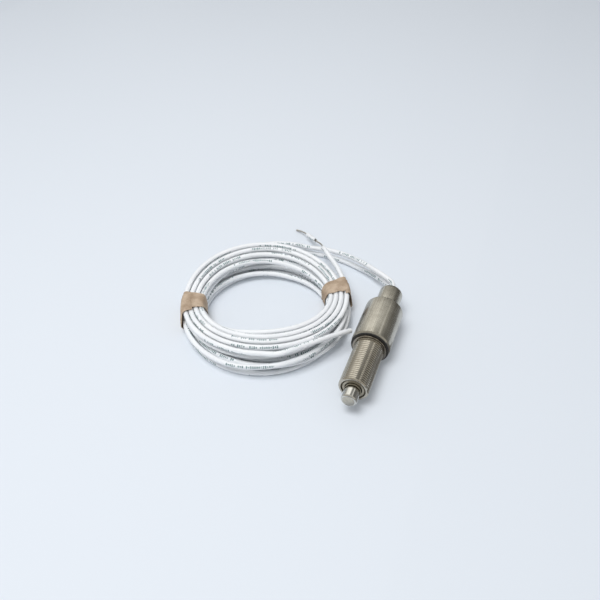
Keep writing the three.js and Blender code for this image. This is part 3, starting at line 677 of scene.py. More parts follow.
# %% Jacket finish
WHITE_SHADES = (0.83, 0.848, 0.865), (0.89, 0.902, 0.915)
INK, INK_COVER = (0.05, 0.15, 0.155), 0.9
PRINTED_LINES = 2
PRINT_SWAY, PRINT_SWAY_SCALE = 1.6, 6.0
GROUP_LENGTH, GROUP_FROM, GROUP_TO = 0.052, 0.06, 0.64
TICK, TICK_INKED, TICK_SKIPPED = 0.0013, 0.62, 0.18
TICK_LOW, TICK_HIGH = 0.0005, 0.0009
GRIME_SCALE, GLOSS_SCALE, WEAR_SCALE, RIPPLE_SCALE = 60.0, 140.0, 420.0, 260.0
RIPPLE_DEPTH, RIPPLE_STRENGTH = 0.00008, 0.35


def jacket_finish(name, length, seed):
    """White jacket with groups of small printed ticks along two sides. Lengths in metres."""
    finish = Finish(name, Specular_IOR_Level=0.45)
    uv = finish.node("ShaderNodeUVMap")
    along = finish.part(uv, 0) * length
    line = finish.node("ShaderNodeCombineXYZ", values={0: along, 1: seed})
    around = finish.part(uv, 1) + finish.noise(PRINT_SWAY_SCALE, 1.0, where=line) * PRINT_SWAY
    side = finish.maths("FRACT", around * PRINTED_LINES)
    height = finish.maths("ABSOLUTE", (side - 0.5) * (math.pi * LEAD_DIAMETER / 2 * MM))
    group = finish.maths("FRACT", along / GROUP_LENGTH + seed)
    in_group = (group > GROUP_FROM) * (group < GROUP_TO)
    cell = finish.maths("FLOOR", along / TICK) + seed
    pick = finish.node("ShaderNodeTexWhiteNoise", {"noise_dimensions": "1D"}, {"W": cell})
    stroke = (finish.maths("FRACT", along / TICK) < TICK_INKED) * (pick > TICK_SKIPPED)
    tall = finish.step(pick, 0.3, 1.0, TICK_LOW, TICK_HIGH)
    worn = finish.step(finish.noise(WEAR_SCALE, 2.0), 0.30, 0.55, 0.35, 1.0)
    ink = in_group * stroke * (height < tall) * worn
    white = finish.between(finish.step(finish.noise(GRIME_SCALE, 4.0), 0.35, 0.75), *WHITE_SHADES)
    finish.colour(finish.between(ink * INK_COVER, white, INK))
    finish.roughness(finish.step(finish.noise(GLOSS_SCALE), 0.3, 0.7, 0.26, 0.4))
    finish.relief(finish.noise(RIPPLE_SCALE, 2.0), RIPPLE_DEPTH, RIPPLE_STRENGTH)
    return finish


# %% Jackets
DOUBLES = 1e-6
TUBE_SMOOTH = 50


def round_tube(name, route, diameter, rings=4):
    """A tube with closed ends along a route in mm, as a mesh with a UV map."""
    line = bpy.data.curves.new(name, "CURVE")
    line.dimensions = "3D"
    line.bevel_depth = diameter / 2 * MM
    line.bevel_resolution = rings
    line.use_fill_caps = True
    line.twist_mode = "MINIMUM"
    spline = line.splines.new("POLY")
    spline.points.add(len(route) - 1)
    for point, place in zip(spline.points, route):
        point.co = (*(place * MM), 1)
    tube = bpy.data.objects.new(name, line)
    bpy.context.collection.objects.link(tube)
    select_only(tube)
    bpy.ops.object.convert(target="MESH")
    mode("EDIT")
    mend_mesh(DOUBLES)
    mode("OBJECT")
    shade(TUBE_SMOOTH)
    return bpy.context.object


PRINT_SEED_A, PRINT_SEED_B, PRINT_SEED_SLUG = 0.37, 5.81, 2.3

lead_a = round_tube("lead_a_jacket", laid_a, LEAD_DIAMETER)
lead_b = round_tube("lead_b_jacket", laid_b, LEAD_DIAMETER)
jacket_finish("jacket_a", length_of(route_a) * MM, PRINT_SEED_A).paint(lead_a)
jacket_finish("jacket_b", length_of(route_b) * MM, PRINT_SEED_B).paint(lead_b)
print("jacket faces:", len(lead_a.data.polygons), len(lead_b.data.polygons))


# %% [markdown]
# ## Lead A's stripped end
#
# The end of lead A has been stripped: bare tinned strands come out of the jacket, and the slug of jacket
# that was cut is still hooked on them. Seven thin wires, six of them twisted round the seventh, make the
# bundle. The slug is a short tube with a bore, so the wires can be seen to pass through it.

# %% Bare strands
WIRE, WIRE_CLEAR = 0.42, 0.05
WIRES_ROUND = 6
STRAND_LAY, LAY_REACH = 13.0, 0.98
FRAY_FROM, FRAY_REACH = 0.86, 0.8
FRAY_STEP, FRAY_KINDS = 7, 5
BARE_SPACING = 0.8


def at_share(points, share):
    place = share * (len(points) - 1)
    k = min(int(place), len(points) - 2)
    return points[k].lerp(points[k + 1], place - k)


def strand_route(core, index):
    """One wire of the bundle: it winds round the core line, and frays a little at the tip."""
    placed = []
    travelled = 0.0
    for k, point in enumerate(core):
        before, after = core[max(k - 1, 0)], core[min(k + 1, len(core) - 1)]
        ahead = (after - before).normalized()
        side = ahead.cross(Vector((0, 0, 1))).normalized()
        over = side.cross(ahead)
        travelled += (point - before).length
        turn = 2 * math.pi * (travelled / STRAND_LAY + index / WIRES_ROUND)
        fray = eased((k / (len(core) - 1) - FRAY_FROM) / (1 - FRAY_FROM))
        spread = (index * FRAY_STEP) % FRAY_KINDS / (FRAY_KINDS - 1)
        reach = WIRE * (LAY_REACH + FRAY_REACH * fray * spread) if index < WIRES_ROUND else 0.0
        spot = point + side * reach * math.cos(turn) + over * reach * math.sin(turn)
        spot.z = max(spot.z, WIRE / 2 + WIRE_CLEAR)
        placed.append(spot)
    return placed


bare_line = smooth_through([route_a[-3], route_a[-1], *BARE_A], BARE_SPACING)[2:]
strands = [
    round_tube(f"bare_strand_{index}", strand_route(bare_line, index), WIRE, rings=1)
    for index in range(WIRES_ROUND + 1)
]
select_only(strands[0])
for strand in strands:
    strand.select_set(True)
bpy.ops.object.join()
bare_strands = bpy.context.object
bare_strands.name = "lead_a_bare_strands"
tinned = speckled(
    "tinned_wire", (0.60, 0.58, 0.54), (0.42, 0.38, 0.33), (900.0, 0.4, 0.7), (0.28, 0.25), metal=1.0
)
tinned.paint(bare_strands)
print("bare end", round(length_of(bare_line)), "mm")

# %% Slug of jacket
SLUG_START, SLUG_LENGTH, SLUG_STEPS = 0.36, 13.0, 8
SLUG_DIAMETER, SLUG_BORE = LEAD_DIAMETER * 0.93, 1.9
SLUG_SMOOTH = 40


def cut_with(piece, tool, operation="DIFFERENCE"):
    """Takes the tool out of a piece, or keeps what the two have in common, and removes the tool."""
    modify(piece, "BOOLEAN", operation=operation, object=tool, solver="EXACT")
    bpy.data.objects.remove(tool)


slug_share = SLUG_LENGTH / length_of(bare_line)
slug_line = [
    at_share(bare_line, SLUG_START + slug_share * i / SLUG_STEPS) for i in range(SLUG_STEPS + 1)
]
slug = round_tube("lead_a_jacket_slug", slug_line, SLUG_DIAMETER, rings=5)
bore_line = [slug_line[0] * 2 - slug_line[1], *slug_line, slug_line[-1] * 2 - slug_line[-2]]
cut_with(slug, round_tube("slug_bore", bore_line, SLUG_BORE))
shade(SLUG_SMOOTH)
jacket_finish("jacket_slug", SLUG_LENGTH * MM, PRINT_SEED_SLUG).paint(slug)
print("slug faces", len(slug.data.polygons))

# %% Cut end of lead B
CORE_DIAMETER, CORE_SPACING = 1.25, 0.3
CORE_FROM, CORE_OUT = 0.2, 0.22

beyond = route_b[-1] + (route_b[-1] - route_b[-2]) * CORE_OUT
core_line = evenly([route_b[-2].lerp(route_b[-1], CORE_FROM), beyond], CORE_SPACING)
core_b = round_tube("lead_b_cut_core", core_line, CORE_DIAMETER, rings=2)
tinned.paint(core_b)
print("cut core faces", len(core_b.data.polygons))


# %% Declare both leads
def declare_lead(jacket, on_it, nodes):
    for piece in (jacket, *on_it):
        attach(piece, "root")
    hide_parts(*nodes)


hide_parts("lead_a_strands")
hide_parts("lead_a_slug")
declare_lead(lead_a, [bare_strands, slug], ["lead_a_run", "lead_a_coil", "lead_a_tail"])
declare_lead(lead_b, [core_b], ["lead_b_run", "lead_b_coil", "lead_b_tail"])
print("leads declared: 2")


# %% [markdown]
# ## Finish of the metal
#
# The body looks like nickel over brass: a warm, slightly olive grey. Noise that is squeezed along the
# axis makes the fine rings that the lathe left, noise that is stretched along it makes faint drawn
# streaks, and broad soft noise makes the dull patches that handling leaves.

# %% Metal finishes
RING_STRETCH, DRAWN_STRETCH = (25, 7000.0, 25), (1700, 12, 1700)
RING_DEPTH, RING_STRENGTH = 0.0000006, 0.4
PATCH_SCALE, SMUDGE_SCALE = 75.0, 330.0
PATCH_SHARE, SMUDGE_SHARE, RING_SHARE, DRAWN_SHARE = 0.3, 0.2, 0.15, 0.35


def turned_metal(name, bright, dark, rough):
    finish = Finish(name, Metallic=1.0)
    patches = finish.step(finish.noise(PATCH_SCALE, 5.0), 0.36, 0.68)
    smudge = finish.step(finish.noise(SMUDGE_SCALE, 4.0), 0.42, 0.75)
    rings = finish.noise(1.0, 2.0, 0.6, where=finish.place(RING_STRETCH))
    drawn = finish.step(finish.noise(1.0, 2.0, 0.7, where=finish.place(DRAWN_STRETCH)), 0.38, 0.62)
    tone = patches * PATCH_SHARE + smudge * SMUDGE_SHARE + rings * RING_SHARE + drawn * DRAWN_SHARE
    finish.colour(finish.between(tone, bright, dark))
    finish.roughness(rough - 0.02 + 0.05 * patches + 0.03 * rings)
    finish.relief(rings, RING_DEPTH, RING_STRENGTH)
    return finish


nickel = turned_metal("satin_nickel", (0.552, 0.535, 0.475), (0.345, 0.322, 0.27), 0.21)
smooth_nickel = turned_metal("smooth_nickel", (0.575, 0.542, 0.47), (0.405, 0.374, 0.316), 0.12)
# A darker copy of the nickel for the guard tube: painted shade for its place set back inside the mouth.
recess_shaded_nickel = turned_metal("recess_shaded_nickel", (0.46, 0.42, 0.34), (0.34, 0.30, 0.235), 0.28)
bright_nickel = turned_metal("bright_nickel", (0.69, 0.687, 0.652), (0.57, 0.56, 0.522), 0.13)
burnished = turned_metal("burnished_ring", (0.40, 0.36, 0.30), (0.20, 0.18, 0.15), 0.14)
print("metal finishes: 5")

# %% Rubber, fibre and window finishes
washer_rubber = speckled(
    "dark_washer", (0.022, 0.021, 0.020), (0.06, 0.056, 0.05), (1500.0, 0.45, 0.75), (0.45, 0.25),
    relief=(0.00002, 0.5),
)
liner_fibre = speckled(
    "liner_fibre", (0.23, 0.20, 0.15), (0.15, 0.13, 0.095), (900.0, 0.4, 0.7), (0.5, 0.2)
)
black_rubber = speckled(
    "black_rubber", (0.012, 0.013, 0.014), (0.045, 0.046, 0.048), (700.0, 0.4, 0.75), (0.5, 0.25)
)

WINDOW_SHADES = (0.52, 0.50, 0.435), (0.45, 0.43, 0.37)
WINDOW_PAINTED_SHADE = (0.27, 0.262, 0.24)
HAZE_SCALE, HAZE_DEPTH = 600.0, 0.00001

window_face = Finish("frosted_window")
haze = window_face.step(window_face.noise(HAZE_SCALE, 4.0), 0.35, 0.7)
spot = window_face.place((1 / MM, 1 / MM, 1 / MM), (0, 0, AXIS_HEIGHT * MM))
# Painted shade: the window's colour grows darker towards its lower right side.
shadow = window_face.step(window_face.part(spot, 0) * 0.6 - window_face.part(spot, 2), -1.5, 5.0)
pale = window_face.between(haze, *WINDOW_SHADES)
window_face.colour(window_face.between(shadow, pale, WINDOW_PAINTED_SHADE))
window_face.roughness(0.38 + 0.2 * haze)
window_face.relief(haze, HAZE_DEPTH, 0.3)
print("soft finishes: 4")


# %% [markdown]
# ## Turning a piece
#
# Every metal piece here came off a lathe, so every one is a profile turned about one axis. The profile is
# drawn point by point: one vertex is extruded from corner to corner, then the whole chain is spun through a
# full circle and its two ends are merged. A small bevel on the corners gives each edge its thin glint.

# %% Profile and spin
AXIS = Vector((0, 0, AXIS_HEIGHT * MM))
TURNED_SMOOTH, SOFTENED_SMOOTH = 35, 45
SHARP_EDGE, BEVEL_STEPS = 35, 2


def draw_profile(name, outline):
    """A chain of edges through [radius, station] pairs, in mm, in the plane at axis height."""
    (radius, station), rest = outline[0], outline[1:]
    bpy.ops.mesh.primitive_plane_add(
        size=MM, location=(radius * MM, station * MM, AXIS_HEIGHT * MM)
    )
    piece = bpy.context.object
    piece.name = name
    bpy.context.scene.cursor.location = AXIS
    bpy.ops.object.origin_set(type="ORIGIN_CURSOR")
    mode("EDIT")
    bpy.ops.mesh.select_mode(type="VERT")
    all_of_mesh()
    bpy.ops.mesh.merge(type="CENTER")
    for next_radius, next_station in rest:
        move = ((next_radius - radius) * MM, (next_station - station) * MM, 0)
        bpy.ops.mesh.extrude_vertices_move(TRANSFORM_OT_translate={"value": move})
        radius, station = next_radius, next_station
    all_of_mesh()
    return piece


def soften_edges(piece, width):
    """A bevel on the sharp edges, width in mm."""
    sharp = math.radians(SHARP_EDGE)
    modify(piece, "BEVEL", width=width * MM, segments=BEVEL_STEPS, limit_method="ANGLE", angle_limit=sharp)
    shade(SOFTENED_SMOOTH)


def turn_piece(name, outline, steps=128, edge=0.0):
    """Turns an outline about the axis. One that doesn't start on the axis is closed to a ring first."""
    ring = outline[0][0] > 0
    piece = draw_profile(name, [*outline, outline[0]] if ring else outline)
    bpy.ops.mesh.spin(steps=steps, angle=2 * math.pi, center=tuple(AXIS), axis=(0, 1, 0))
    mend_mesh(DOUBLES)
    mode("OBJECT")
    bpy.ops.object.transform_apply()
    shade(TURNED_SMOOTH)
    if edge:
        soften_edges(piece, edge)
    print(name, "faces", len(piece.data.polygons))
    return piece


def fit_piece(piece, finish, node):
    """Paints a finished piece, and lets it stand for its CAD node."""
    finish.paint(piece)
    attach(piece, "root")
    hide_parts(node)


def corner(radius, station, size, start, end, steps=5):
    """A rounded corner of the outline about a centre, from one angle to another in degrees."""
    angles = [math.radians(start + (end - start) * i / steps) for i in range(steps + 1)]
    return [(radius + size * math.cos(way), station + size * math.sin(way)) for way in angles]


# %% Main housing
TIP_Y = -49.0
MOUTH_Y = TIP_Y + 7.4
SHOULDER_Y = MOUTH_Y + 37.3
HOUSING_REAR_Y = SHOULDER_Y + 35.3
SOCKET_END_Y = SHOULDER_Y + 15.0
HOUSING_RADIUS = 12.7
SLEEVE_RADIUS = HOUSING_RADIUS * 0.75
COLLAR_RADIUS = HOUSING_RADIUS * 0.625
SNOUT_RADIUS = HOUSING_RADIUS * 0.4
SLEEVE_SOCKET, COLLAR_SOCKET = 9.825, 8.25
SHOULDER_CHAMFER = 1.3
RIM_FROM, RIM_TO, RIM_DROP = 1.7, 0.9, 0.14
RIM_INSET, RIM_ROUND = 0.95, 0.85

housing = turn_piece(
    "turned_housing",
    [
        (SLEEVE_SOCKET, SHOULDER_Y),
        (HOUSING_RADIUS - SHOULDER_CHAMFER, SHOULDER_Y),
        (HOUSING_RADIUS, SHOULDER_Y + SHOULDER_CHAMFER),
        (HOUSING_RADIUS, HOUSING_REAR_Y - RIM_FROM),
        (HOUSING_RADIUS - RIM_DROP, HOUSING_REAR_Y - RIM_TO),
        *corner(HOUSING_RADIUS - RIM_INSET, HOUSING_REAR_Y - RIM_ROUND, RIM_ROUND, 15, 90, 7),
        (COLLAR_SOCKET, HOUSING_REAR_Y),
        (COLLAR_SOCKET, SOCKET_END_Y),
        (SLEEVE_SOCKET, SOCKET_END_Y),
    ],
    steps=160,
    edge=0.18,
)
fit_piece(housing, nickel, "main_housing")

# %% Gasket washer and lock ring
GASKET_Y = SHOULDER_Y - 1.0
GASKET_RADIUS, GASKET_THICKNESS, GASKET_ROUND, GASKET_LIES_BACK = 12.35, 0.8, 0.2, 0.15
LOCK_RING_Y = GASKET_Y - 1.2
RING_RADIUS, RING_BORE, RING_THICKNESS, RING_ROUND = 11.1, 9.75, 1.3, 0.3


def washer_outline(outer, inner, start, thickness, edge):
    return [
        (inner, start),
        *corner(outer - edge, start + edge, edge, -90, 0),
        *corner(outer - edge, start + thickness - edge, edge, 0, 90),
        (inner, start + thickness),
    ]


gasket_shape = (GASKET_RADIUS, SLEEVE_SOCKET, GASKET_Y + GASKET_LIES_BACK, GASKET_THICKNESS, GASKET_ROUND)
gasket = turn_piece("sealing_washer", washer_outline(*gasket_shape))
fit_piece(gasket, washer_rubber, "gasket_washer")
ring_shape = (RING_RADIUS, RING_BORE, LOCK_RING_Y, RING_THICKNESS, RING_ROUND)
ring = turn_piece("locking_ring", washer_outline(*ring_shape))
fit_piece(ring, burnished, "lock_ring")


# %% [markdown]
# ## The threaded sleeve
#
# A thread is a row of teeth that climbs as it goes round. The profile is drawn with one tooth for each
# pitch, and the Screw modifier turns it once and moves it one pitch along, so that each tooth meets its
# neighbour. Two flat cuts, filled, make a closed bar of thread. The sleeve itself, with its bore, its
# chamfered mouth and the plain relief behind the thread, is turned as a second piece, a little too
# thick. What the two have in common is the threaded sleeve.

# %% Thread
PITCH = INCH / 16
TOOTH_DEPTH = 0.32
FLANK_FROM, CREST_FROM, CREST_TO = 0.35, 0.50, 0.80
SLEEVE_BORE = SLEEVE_RADIUS - INCH * 0.057
SLEEVE_REAR_Y = SOCKET_END_Y - 2.1
RELIEF_Y = LOCK_RING_Y - 1.0
THREAD_STEPS = 144
SPARE_FRONT, SPARE_TEETH, CUT_BEYOND = 4, 8, 1.3
TOOTH_DOUBLES, CUT_DOUBLES = 2e-6, 4e-6


def tooth_row(start, teeth):
    """Root, flank, crest, flank of each tooth, in [radius, station] pairs."""
    root, crest = SLEEVE_RADIUS - TOOTH_DEPTH, SLEEVE_RADIUS
    row = []
    for k in range(teeth):
        base = start + k * PITCH
        row += [(root, base), (root, base + FLANK_FROM * PITCH)]
        row += [(crest, base + CREST_FROM * PITCH), (crest, base + CREST_TO * PITCH)]
    return [*row, (root, start + teeth * PITCH)]


teeth = math.ceil((SLEEVE_REAR_Y - MOUTH_Y) / PITCH) + SPARE_TEETH
thread_bar = draw_profile("thread_bar", tooth_row(MOUTH_Y - SPARE_FRONT * PITCH, teeth))
mode("OBJECT")
climb = {"axis": "Y", "angle": 2 * math.pi, "screw_offset": PITCH * MM}
modify(thread_bar, "SCREW", **climb, steps=THREAD_STEPS, render_steps=THREAD_STEPS)
bpy.ops.object.transform_apply()
mode("EDIT")
all_of_mesh()
bpy.ops.mesh.remove_doubles(threshold=TOOTH_DOUBLES)
front_cut, rear_cut = MOUTH_Y - CUT_BEYOND * PITCH, SLEEVE_REAR_Y + CUT_BEYOND * PITCH
for station, in_front in ((front_cut, True), (rear_cut, False)):
    all_of_mesh()
    bpy.ops.mesh.bisect(
        plane_co=(0, station * MM, 0),
        plane_no=(0, 1, 0),
        clear_inner=in_front,
        clear_outer=not in_front,
    )
mend_mesh(CUT_DOUBLES)
all_of_mesh()
bpy.ops.mesh.fill_holes(sides=0)
faces_out()
mode("OBJECT")
print("thread bar faces", len(thread_bar.data.polygons))

# %% Sleeve
SLEEVE_LIP = SLEEVE_BORE - 0.3
LIP_EDGE, LIP_END, BORE_FROM = 0.2, 1.0, 1.3
OVERSIZE = 0.2
# How far each corner lies under the sleeve's radius, and how far behind its mouth
MOUTH_CORNERS = ((1.0, 0), (0.65, 0.16), (-OVERSIZE, 1.2))
RELIEF_DEPTH, RELIEF_FLANK, RELIEF_END = 0.6, 0.4, 0.1
PLAIN_UNDER = 0.02
SLEEVE_SMOOTH = 28

sleeve = turn_piece(
    "threaded_sleeve_turned",
    [
        (SLEEVE_LIP, MOUTH_Y + LIP_EDGE),
        (SLEEVE_LIP + LIP_EDGE, MOUTH_Y),
        *[(SLEEVE_RADIUS - drop, MOUTH_Y + back) for drop, back in MOUTH_CORNERS],
        (SLEEVE_RADIUS + OVERSIZE, RELIEF_Y),
        (SLEEVE_RADIUS - RELIEF_DEPTH, RELIEF_Y + RELIEF_FLANK),
        (SLEEVE_RADIUS - RELIEF_DEPTH, LOCK_RING_Y - RELIEF_END),
        (SLEEVE_RADIUS - PLAIN_UNDER, LOCK_RING_Y - RELIEF_END),
        (SLEEVE_RADIUS - PLAIN_UNDER, SLEEVE_REAR_Y),
        (SLEEVE_BORE, SLEEVE_REAR_Y),
        (SLEEVE_BORE, MOUTH_Y + BORE_FROM),
        (SLEEVE_LIP, MOUTH_Y + LIP_END),
    ],
    steps=THREAD_STEPS,
)
cut_with(sleeve, thread_bar, "INTERSECT")
shade(SLEEVE_SMOOTH)
fit_piece(sleeve, smooth_nickel, "threaded_sleeve")
print("sleeve faces", len(sleeve.data.polygons))


# %% [markdown]
# ## The nested nose
#
# Inside the sleeve's mouth lie a dark groove, the thin guard tube, a narrow gap, and then the snout, which
# sticks out and ends in a frosted, domed window. Each is a turned piece of its own, because the dark gaps
# between them are what makes the nose read as a nest of tubes.

# %% Guard tube and liner
GUARD_RADIUS, GUARD_BORE = 6.8984, 5.603
GUARD_LIP = SNOUT_RADIUS + 0.4
GUARD_Y, GUARD_LIP_END_Y, GUARD_BORE_Y = MOUTH_Y + 0.5, MOUTH_Y + 1.6, MOUTH_Y + 2.2
LINER_Y, LINER_CLEAR = MOUTH_Y + 1.5, 0.05

guard = turn_piece(
    "guard_tube_turned",
    [
        (GUARD_LIP, GUARD_Y),
        (GUARD_RADIUS, GUARD_Y),
        (GUARD_RADIUS, SLEEVE_REAR_Y),
        (GUARD_BORE, SLEEVE_REAR_Y),
        (GUARD_BORE, GUARD_BORE_Y),
        (GUARD_LIP, GUARD_LIP_END_Y),
    ],
    edge=0.12,
)
# The guard tube takes the darker nickel, as painted shade for the recess it sits in.
fit_piece(guard, recess_shaded_nickel, "guard_tube")

liner_bore, liner_radius = GUARD_RADIUS + LINER_CLEAR, SLEEVE_BORE - LINER_CLEAR
liner = turn_piece(
    "liner_tube",
    [
        (liner_bore, LINER_Y),
        (liner_radius, LINER_Y),
        (liner_radius, SLEEVE_REAR_Y),
        (liner_bore, SLEEVE_REAR_Y),
    ],
    edge=0.1,
)
fit_piece(liner, liner_fibre, "insulating_liner")

# %% Snout and window
SNOUT_EDGE, SNOUT_NOSE, QUARTER_STEPS = 1.4, 1.7, 12
SNOUT_REAR_Y = MOUTH_Y + 8.0
SNOUT_BORE, FLANGE_RADIUS, FLANGE_LENGTH = 3.3025, 5.3, 1.2
WINDOW_RADIUS, WINDOW_CLEAR = SNOUT_RADIUS - SNOUT_EDGE, 0.02
WINDOW_SAG, WINDOW_INSET = 0.35, 0.05
FACE_Y, FACE_LIP = TIP_Y - 2.1, 0.1
WINDOW_REAR_Y, REBATE_END_Y = TIP_Y + 1.6, TIP_Y + 2.8
quarter = [math.pi / 2 * k / QUARTER_STEPS for k in range(QUARTER_STEPS + 1)]
rebate = WINDOW_RADIUS + WINDOW_CLEAR

snout = turn_piece(
    "sensing_snout",
    [
        (rebate, FACE_Y + FACE_LIP),
        *[
            (WINDOW_RADIUS + SNOUT_EDGE * math.sin(way), FACE_Y + SNOUT_NOSE * (1 - math.cos(way)))
            for way in quarter[1:]
        ],
        (SNOUT_RADIUS, SNOUT_REAR_Y - FLANGE_LENGTH),
        (FLANGE_RADIUS, SNOUT_REAR_Y - FLANGE_LENGTH),
        (FLANGE_RADIUS, SNOUT_REAR_Y),
        (SNOUT_BORE, SNOUT_REAR_Y),
        (SNOUT_BORE, REBATE_END_Y),
        (rebate, REBATE_END_Y),
    ],
)
fit_piece(snout, bright_nickel, "sensing_tip")

domed = [
    (WINDOW_RADIUS * math.sin(way), FACE_Y + WINDOW_INSET - WINDOW_SAG * math.cos(way)) for way in quarter
]
window = turn_piece("snout_window", [*domed, (WINDOW_RADIUS, WINDOW_REAR_Y), (0, WINDOW_REAR_Y)])
fit_piece(window, window_face, "tip_window")


# %% [markdown]
# ## The rear collar and its grommet
#
# The collar is a plain tube. A black grommet sits just inside its rim, with one hole above the other for
# the two leads. The holes are cut with two round bars, and a bevel softens their rims.

# %% Collar
COLLAR_BORE = COLLAR_RADIUS - INCH * 0.051
COLLAR_FRONT_Y = HOUSING_REAR_Y - 9.0
COLLAR_RIM = ((0, 1.3), (0.12, 0.6), (0.5, 0))

collar = turn_piece(
    "collar_tube",
    [
        (COLLAR_BORE, COLLAR_FRONT_Y),
        (COLLAR_RADIUS, COLLAR_FRONT_Y),
        *[(COLLAR_RADIUS - drop, REAR_Y - back) for drop, back in COLLAR_RIM],
        (COLLAR_BORE, REAR_Y),
    ],
    edge=0.15,
)
fit_piece(collar, nickel, "rear_collar")

# %% Grommet
GROMMET_RADIUS = COLLAR_BORE - 0.05
GROMMET_LENGTH, GROMMET_ROUND = 14.0, 0.6
HOLE_SLACK, HOLE_EDGE = 0.3, 0.12
DRILL_STATIONS = (-15.0, -7.0, 1.0)

grommet = turn_piece(
    "lead_grommet_moulded",
    [
        (0, GROMMET_REAR_Y - GROMMET_LENGTH),
        (GROMMET_RADIUS, GROMMET_REAR_Y - GROMMET_LENGTH),
        *corner(GROMMET_RADIUS - GROMMET_ROUND, GROMMET_REAR_Y - GROMMET_ROUND, GROMMET_ROUND, 0, 90),
        (0, GROMMET_REAR_Y),
    ],
    steps=64,
)
for side in (1, -1):
    height = AXIS_HEIGHT + side * LEAD_OFFSET
    drill_line = [Vector((0, GROMMET_REAR_Y + station, height)) for station in DRILL_STATIONS]
    cut_with(grommet, round_tube("drill", drill_line, LEAD_DIAMETER + HOLE_SLACK, rings=8))
soften_edges(grommet, HOLE_EDGE)
fit_piece(grommet, black_rubber, "lead_grommet")


# %% [markdown]
# ## The paper bands
#
# Each tie is a strip of brown kraft paper, wound tightly round the bundle more than twice, each wrap a
# little beside the one before, with one corner left as a short tail. At every angle the strip is the
# shape of a tight loop round the strands there. Smooth noise creases it and makes its edges ragged, and
# Solidify gives it a thickness.

# %% Band shape
PAPER = 0.28
WRAPS, WRAP_SHIFT, WRAP_LIFT = 2.36, 2.7, 1.4
FIRST_LIFT, TAIL_LIFT, CRUMPLE, RAGGED = 0.15, 0.5, 0.5, 0.8
CREASE_ROUND, CREASE_ALONG, CREASE_SEED, RAGGED_ROUND = 4, 0.25, 5, 3
START_WAY, TAIL_WAY = math.radians(-60), math.radians(-15)
TAIL_POWER, TAIL_WRAPS = 3, 1.25
TAIL_SIDE_FROM, TAIL_SIDE_WIDTH = -0.4, 1.4
ROUND_STEPS, STRIP_STATIONS, LOOP_POINTS, LOOPS_PER_DEGREE = 46, 15, 72, 2
BUNDLE_MIDDLE, LOWEST_PAPER, STRIP_SMOOTH = 9.0, 0.3, 50


def crossings(angle):
    """Where both leads cross the bundle at an angle, as [radius, height] pairs in mm."""
    found = []
    for lag, last_turn, entry in (WINDING_A, WINDING_B):
        turns = lag + (angle - WINDING_START) % 360 / 360
        while turns <= last_turn:
            point = winding_point(turns, lag, *entry, last_turn)
            found.append(Vector((math.hypot(point.x - COIL_X, point.y - COIL_Y), point.z)))
            turns += 1
    return found


def tight_loop(angle):
    """A loop drawn tightly round the strands at an angle, in steps of one length."""
    strands, loop = crossings(angle), []
    for j in range(LOOP_POINTS + 1):
        way = 2 * math.pi * j / LOOP_POINTS + START_WAY
        facing = Vector((math.cos(way), math.sin(way)))
        held = max(strands, key=lambda strand: strand.dot(facing))
        loop.append(held + facing * LEAD_RADIUS)
    return evenly(loop, length_of(loop) / ROUND_STEPS)


def ripple(way, rate, *others):
    return noise.noise(Vector((rate * math.cos(way), rate * math.sin(way), sum(others))))


def band_strip(name, tie_angle, toward, width, tail_reach, seed):
    """A strip of paper wound round the bundle, each wrap a little nearer than the one before."""
    strands = crossings(tie_angle)
    mean = sum(strand.x for strand in strands) / len(strands)
    middle, per_mm = Vector((mean, BUNDLE_MIDDLE)), math.degrees(1 / mean) * toward
    points, loops = [], {}
    row_length = round(WRAPS * ROUND_STEPS) + 1
    for i in range(STRIP_STATIONS):
        side = 2 * i / (STRIP_STATIONS - 1) - 1
        for k in range(row_length):
            wrap = k / ROUND_STEPS
            way = 2 * math.pi * wrap + START_WAY
            last, outer = wrap - WRAPS + TAIL_WRAPS, (side - TAIL_SIDE_FROM) / TAIL_SIDE_WIDTH
            toward_tail = max(0, math.cos(way - TAIL_WAY)) ** TAIL_POWER
            tail = eased(last) * toward_tail * eased(outer)
            along = width / 2 * side + WRAP_SHIFT * (wrap - WRAPS / 2) + tail_reach * tail
            along += RAGGED * ripple(way, RAGGED_ROUND, seed, side)
            angle = tie_angle + along * per_mm
            station = round(angle * LOOPS_PER_DEGREE)
            if station not in loops:
                loops[station] = tight_loop(station / LOOPS_PER_DEGREE)
            loop, place = loops[station], wrap % 1 * ROUND_STEPS
            low = min(int(place), len(loop) - 2)
            spot = loop[low].lerp(loop[low + 1], place - low)
            crease = max(0, ripple(way, CREASE_ROUND, seed + CREASE_SEED, along * CREASE_ALONG))
            lift = FIRST_LIFT + PAPER * WRAP_LIFT * wrap + CRUMPLE * crease + TAIL_LIFT * tail
            spot = spot + (spot - middle).normalized() * lift
            points.append(round_the_coil(angle, spot.x, max(spot.y, LOWEST_PAPER)) * MM)
    faces = [
        (i + k, i + k + 1, i + row_length + k + 1, i + row_length + k)
        for i in range(0, len(points) - row_length, row_length)
        for k in range(row_length - 1)
    ]
    mesh = bpy.data.meshes.new(name)
    mesh.from_pydata(points, [], faces)
    strip = bpy.data.objects.new(name, mesh)
    bpy.context.collection.objects.link(strip)
    select_only(strip)
    mode("EDIT")
    faces_out()
    mode("OBJECT")
    modify(strip, "SOLIDIFY", thickness=PAPER * MM, offset=0)
    modify(strip, "SUBSURF", levels=1, render_levels=1)
    shade(STRIP_SMOOTH)
    return strip


# %% Kraft paper
KRAFT_SHADES = (0.60, 0.475, 0.355), (0.30, 0.21, 0.138)
FIBRE_STRETCH, FIBRE_SCALE, FIBRE_SHARE = (1, 1, 5), 900.0, 0.4
STAIN_SCALE, STAIN_SHARE = 130.0, 0.6
CREASE_SCALE, CREASE_DEPTH = 260.0, 0.0006

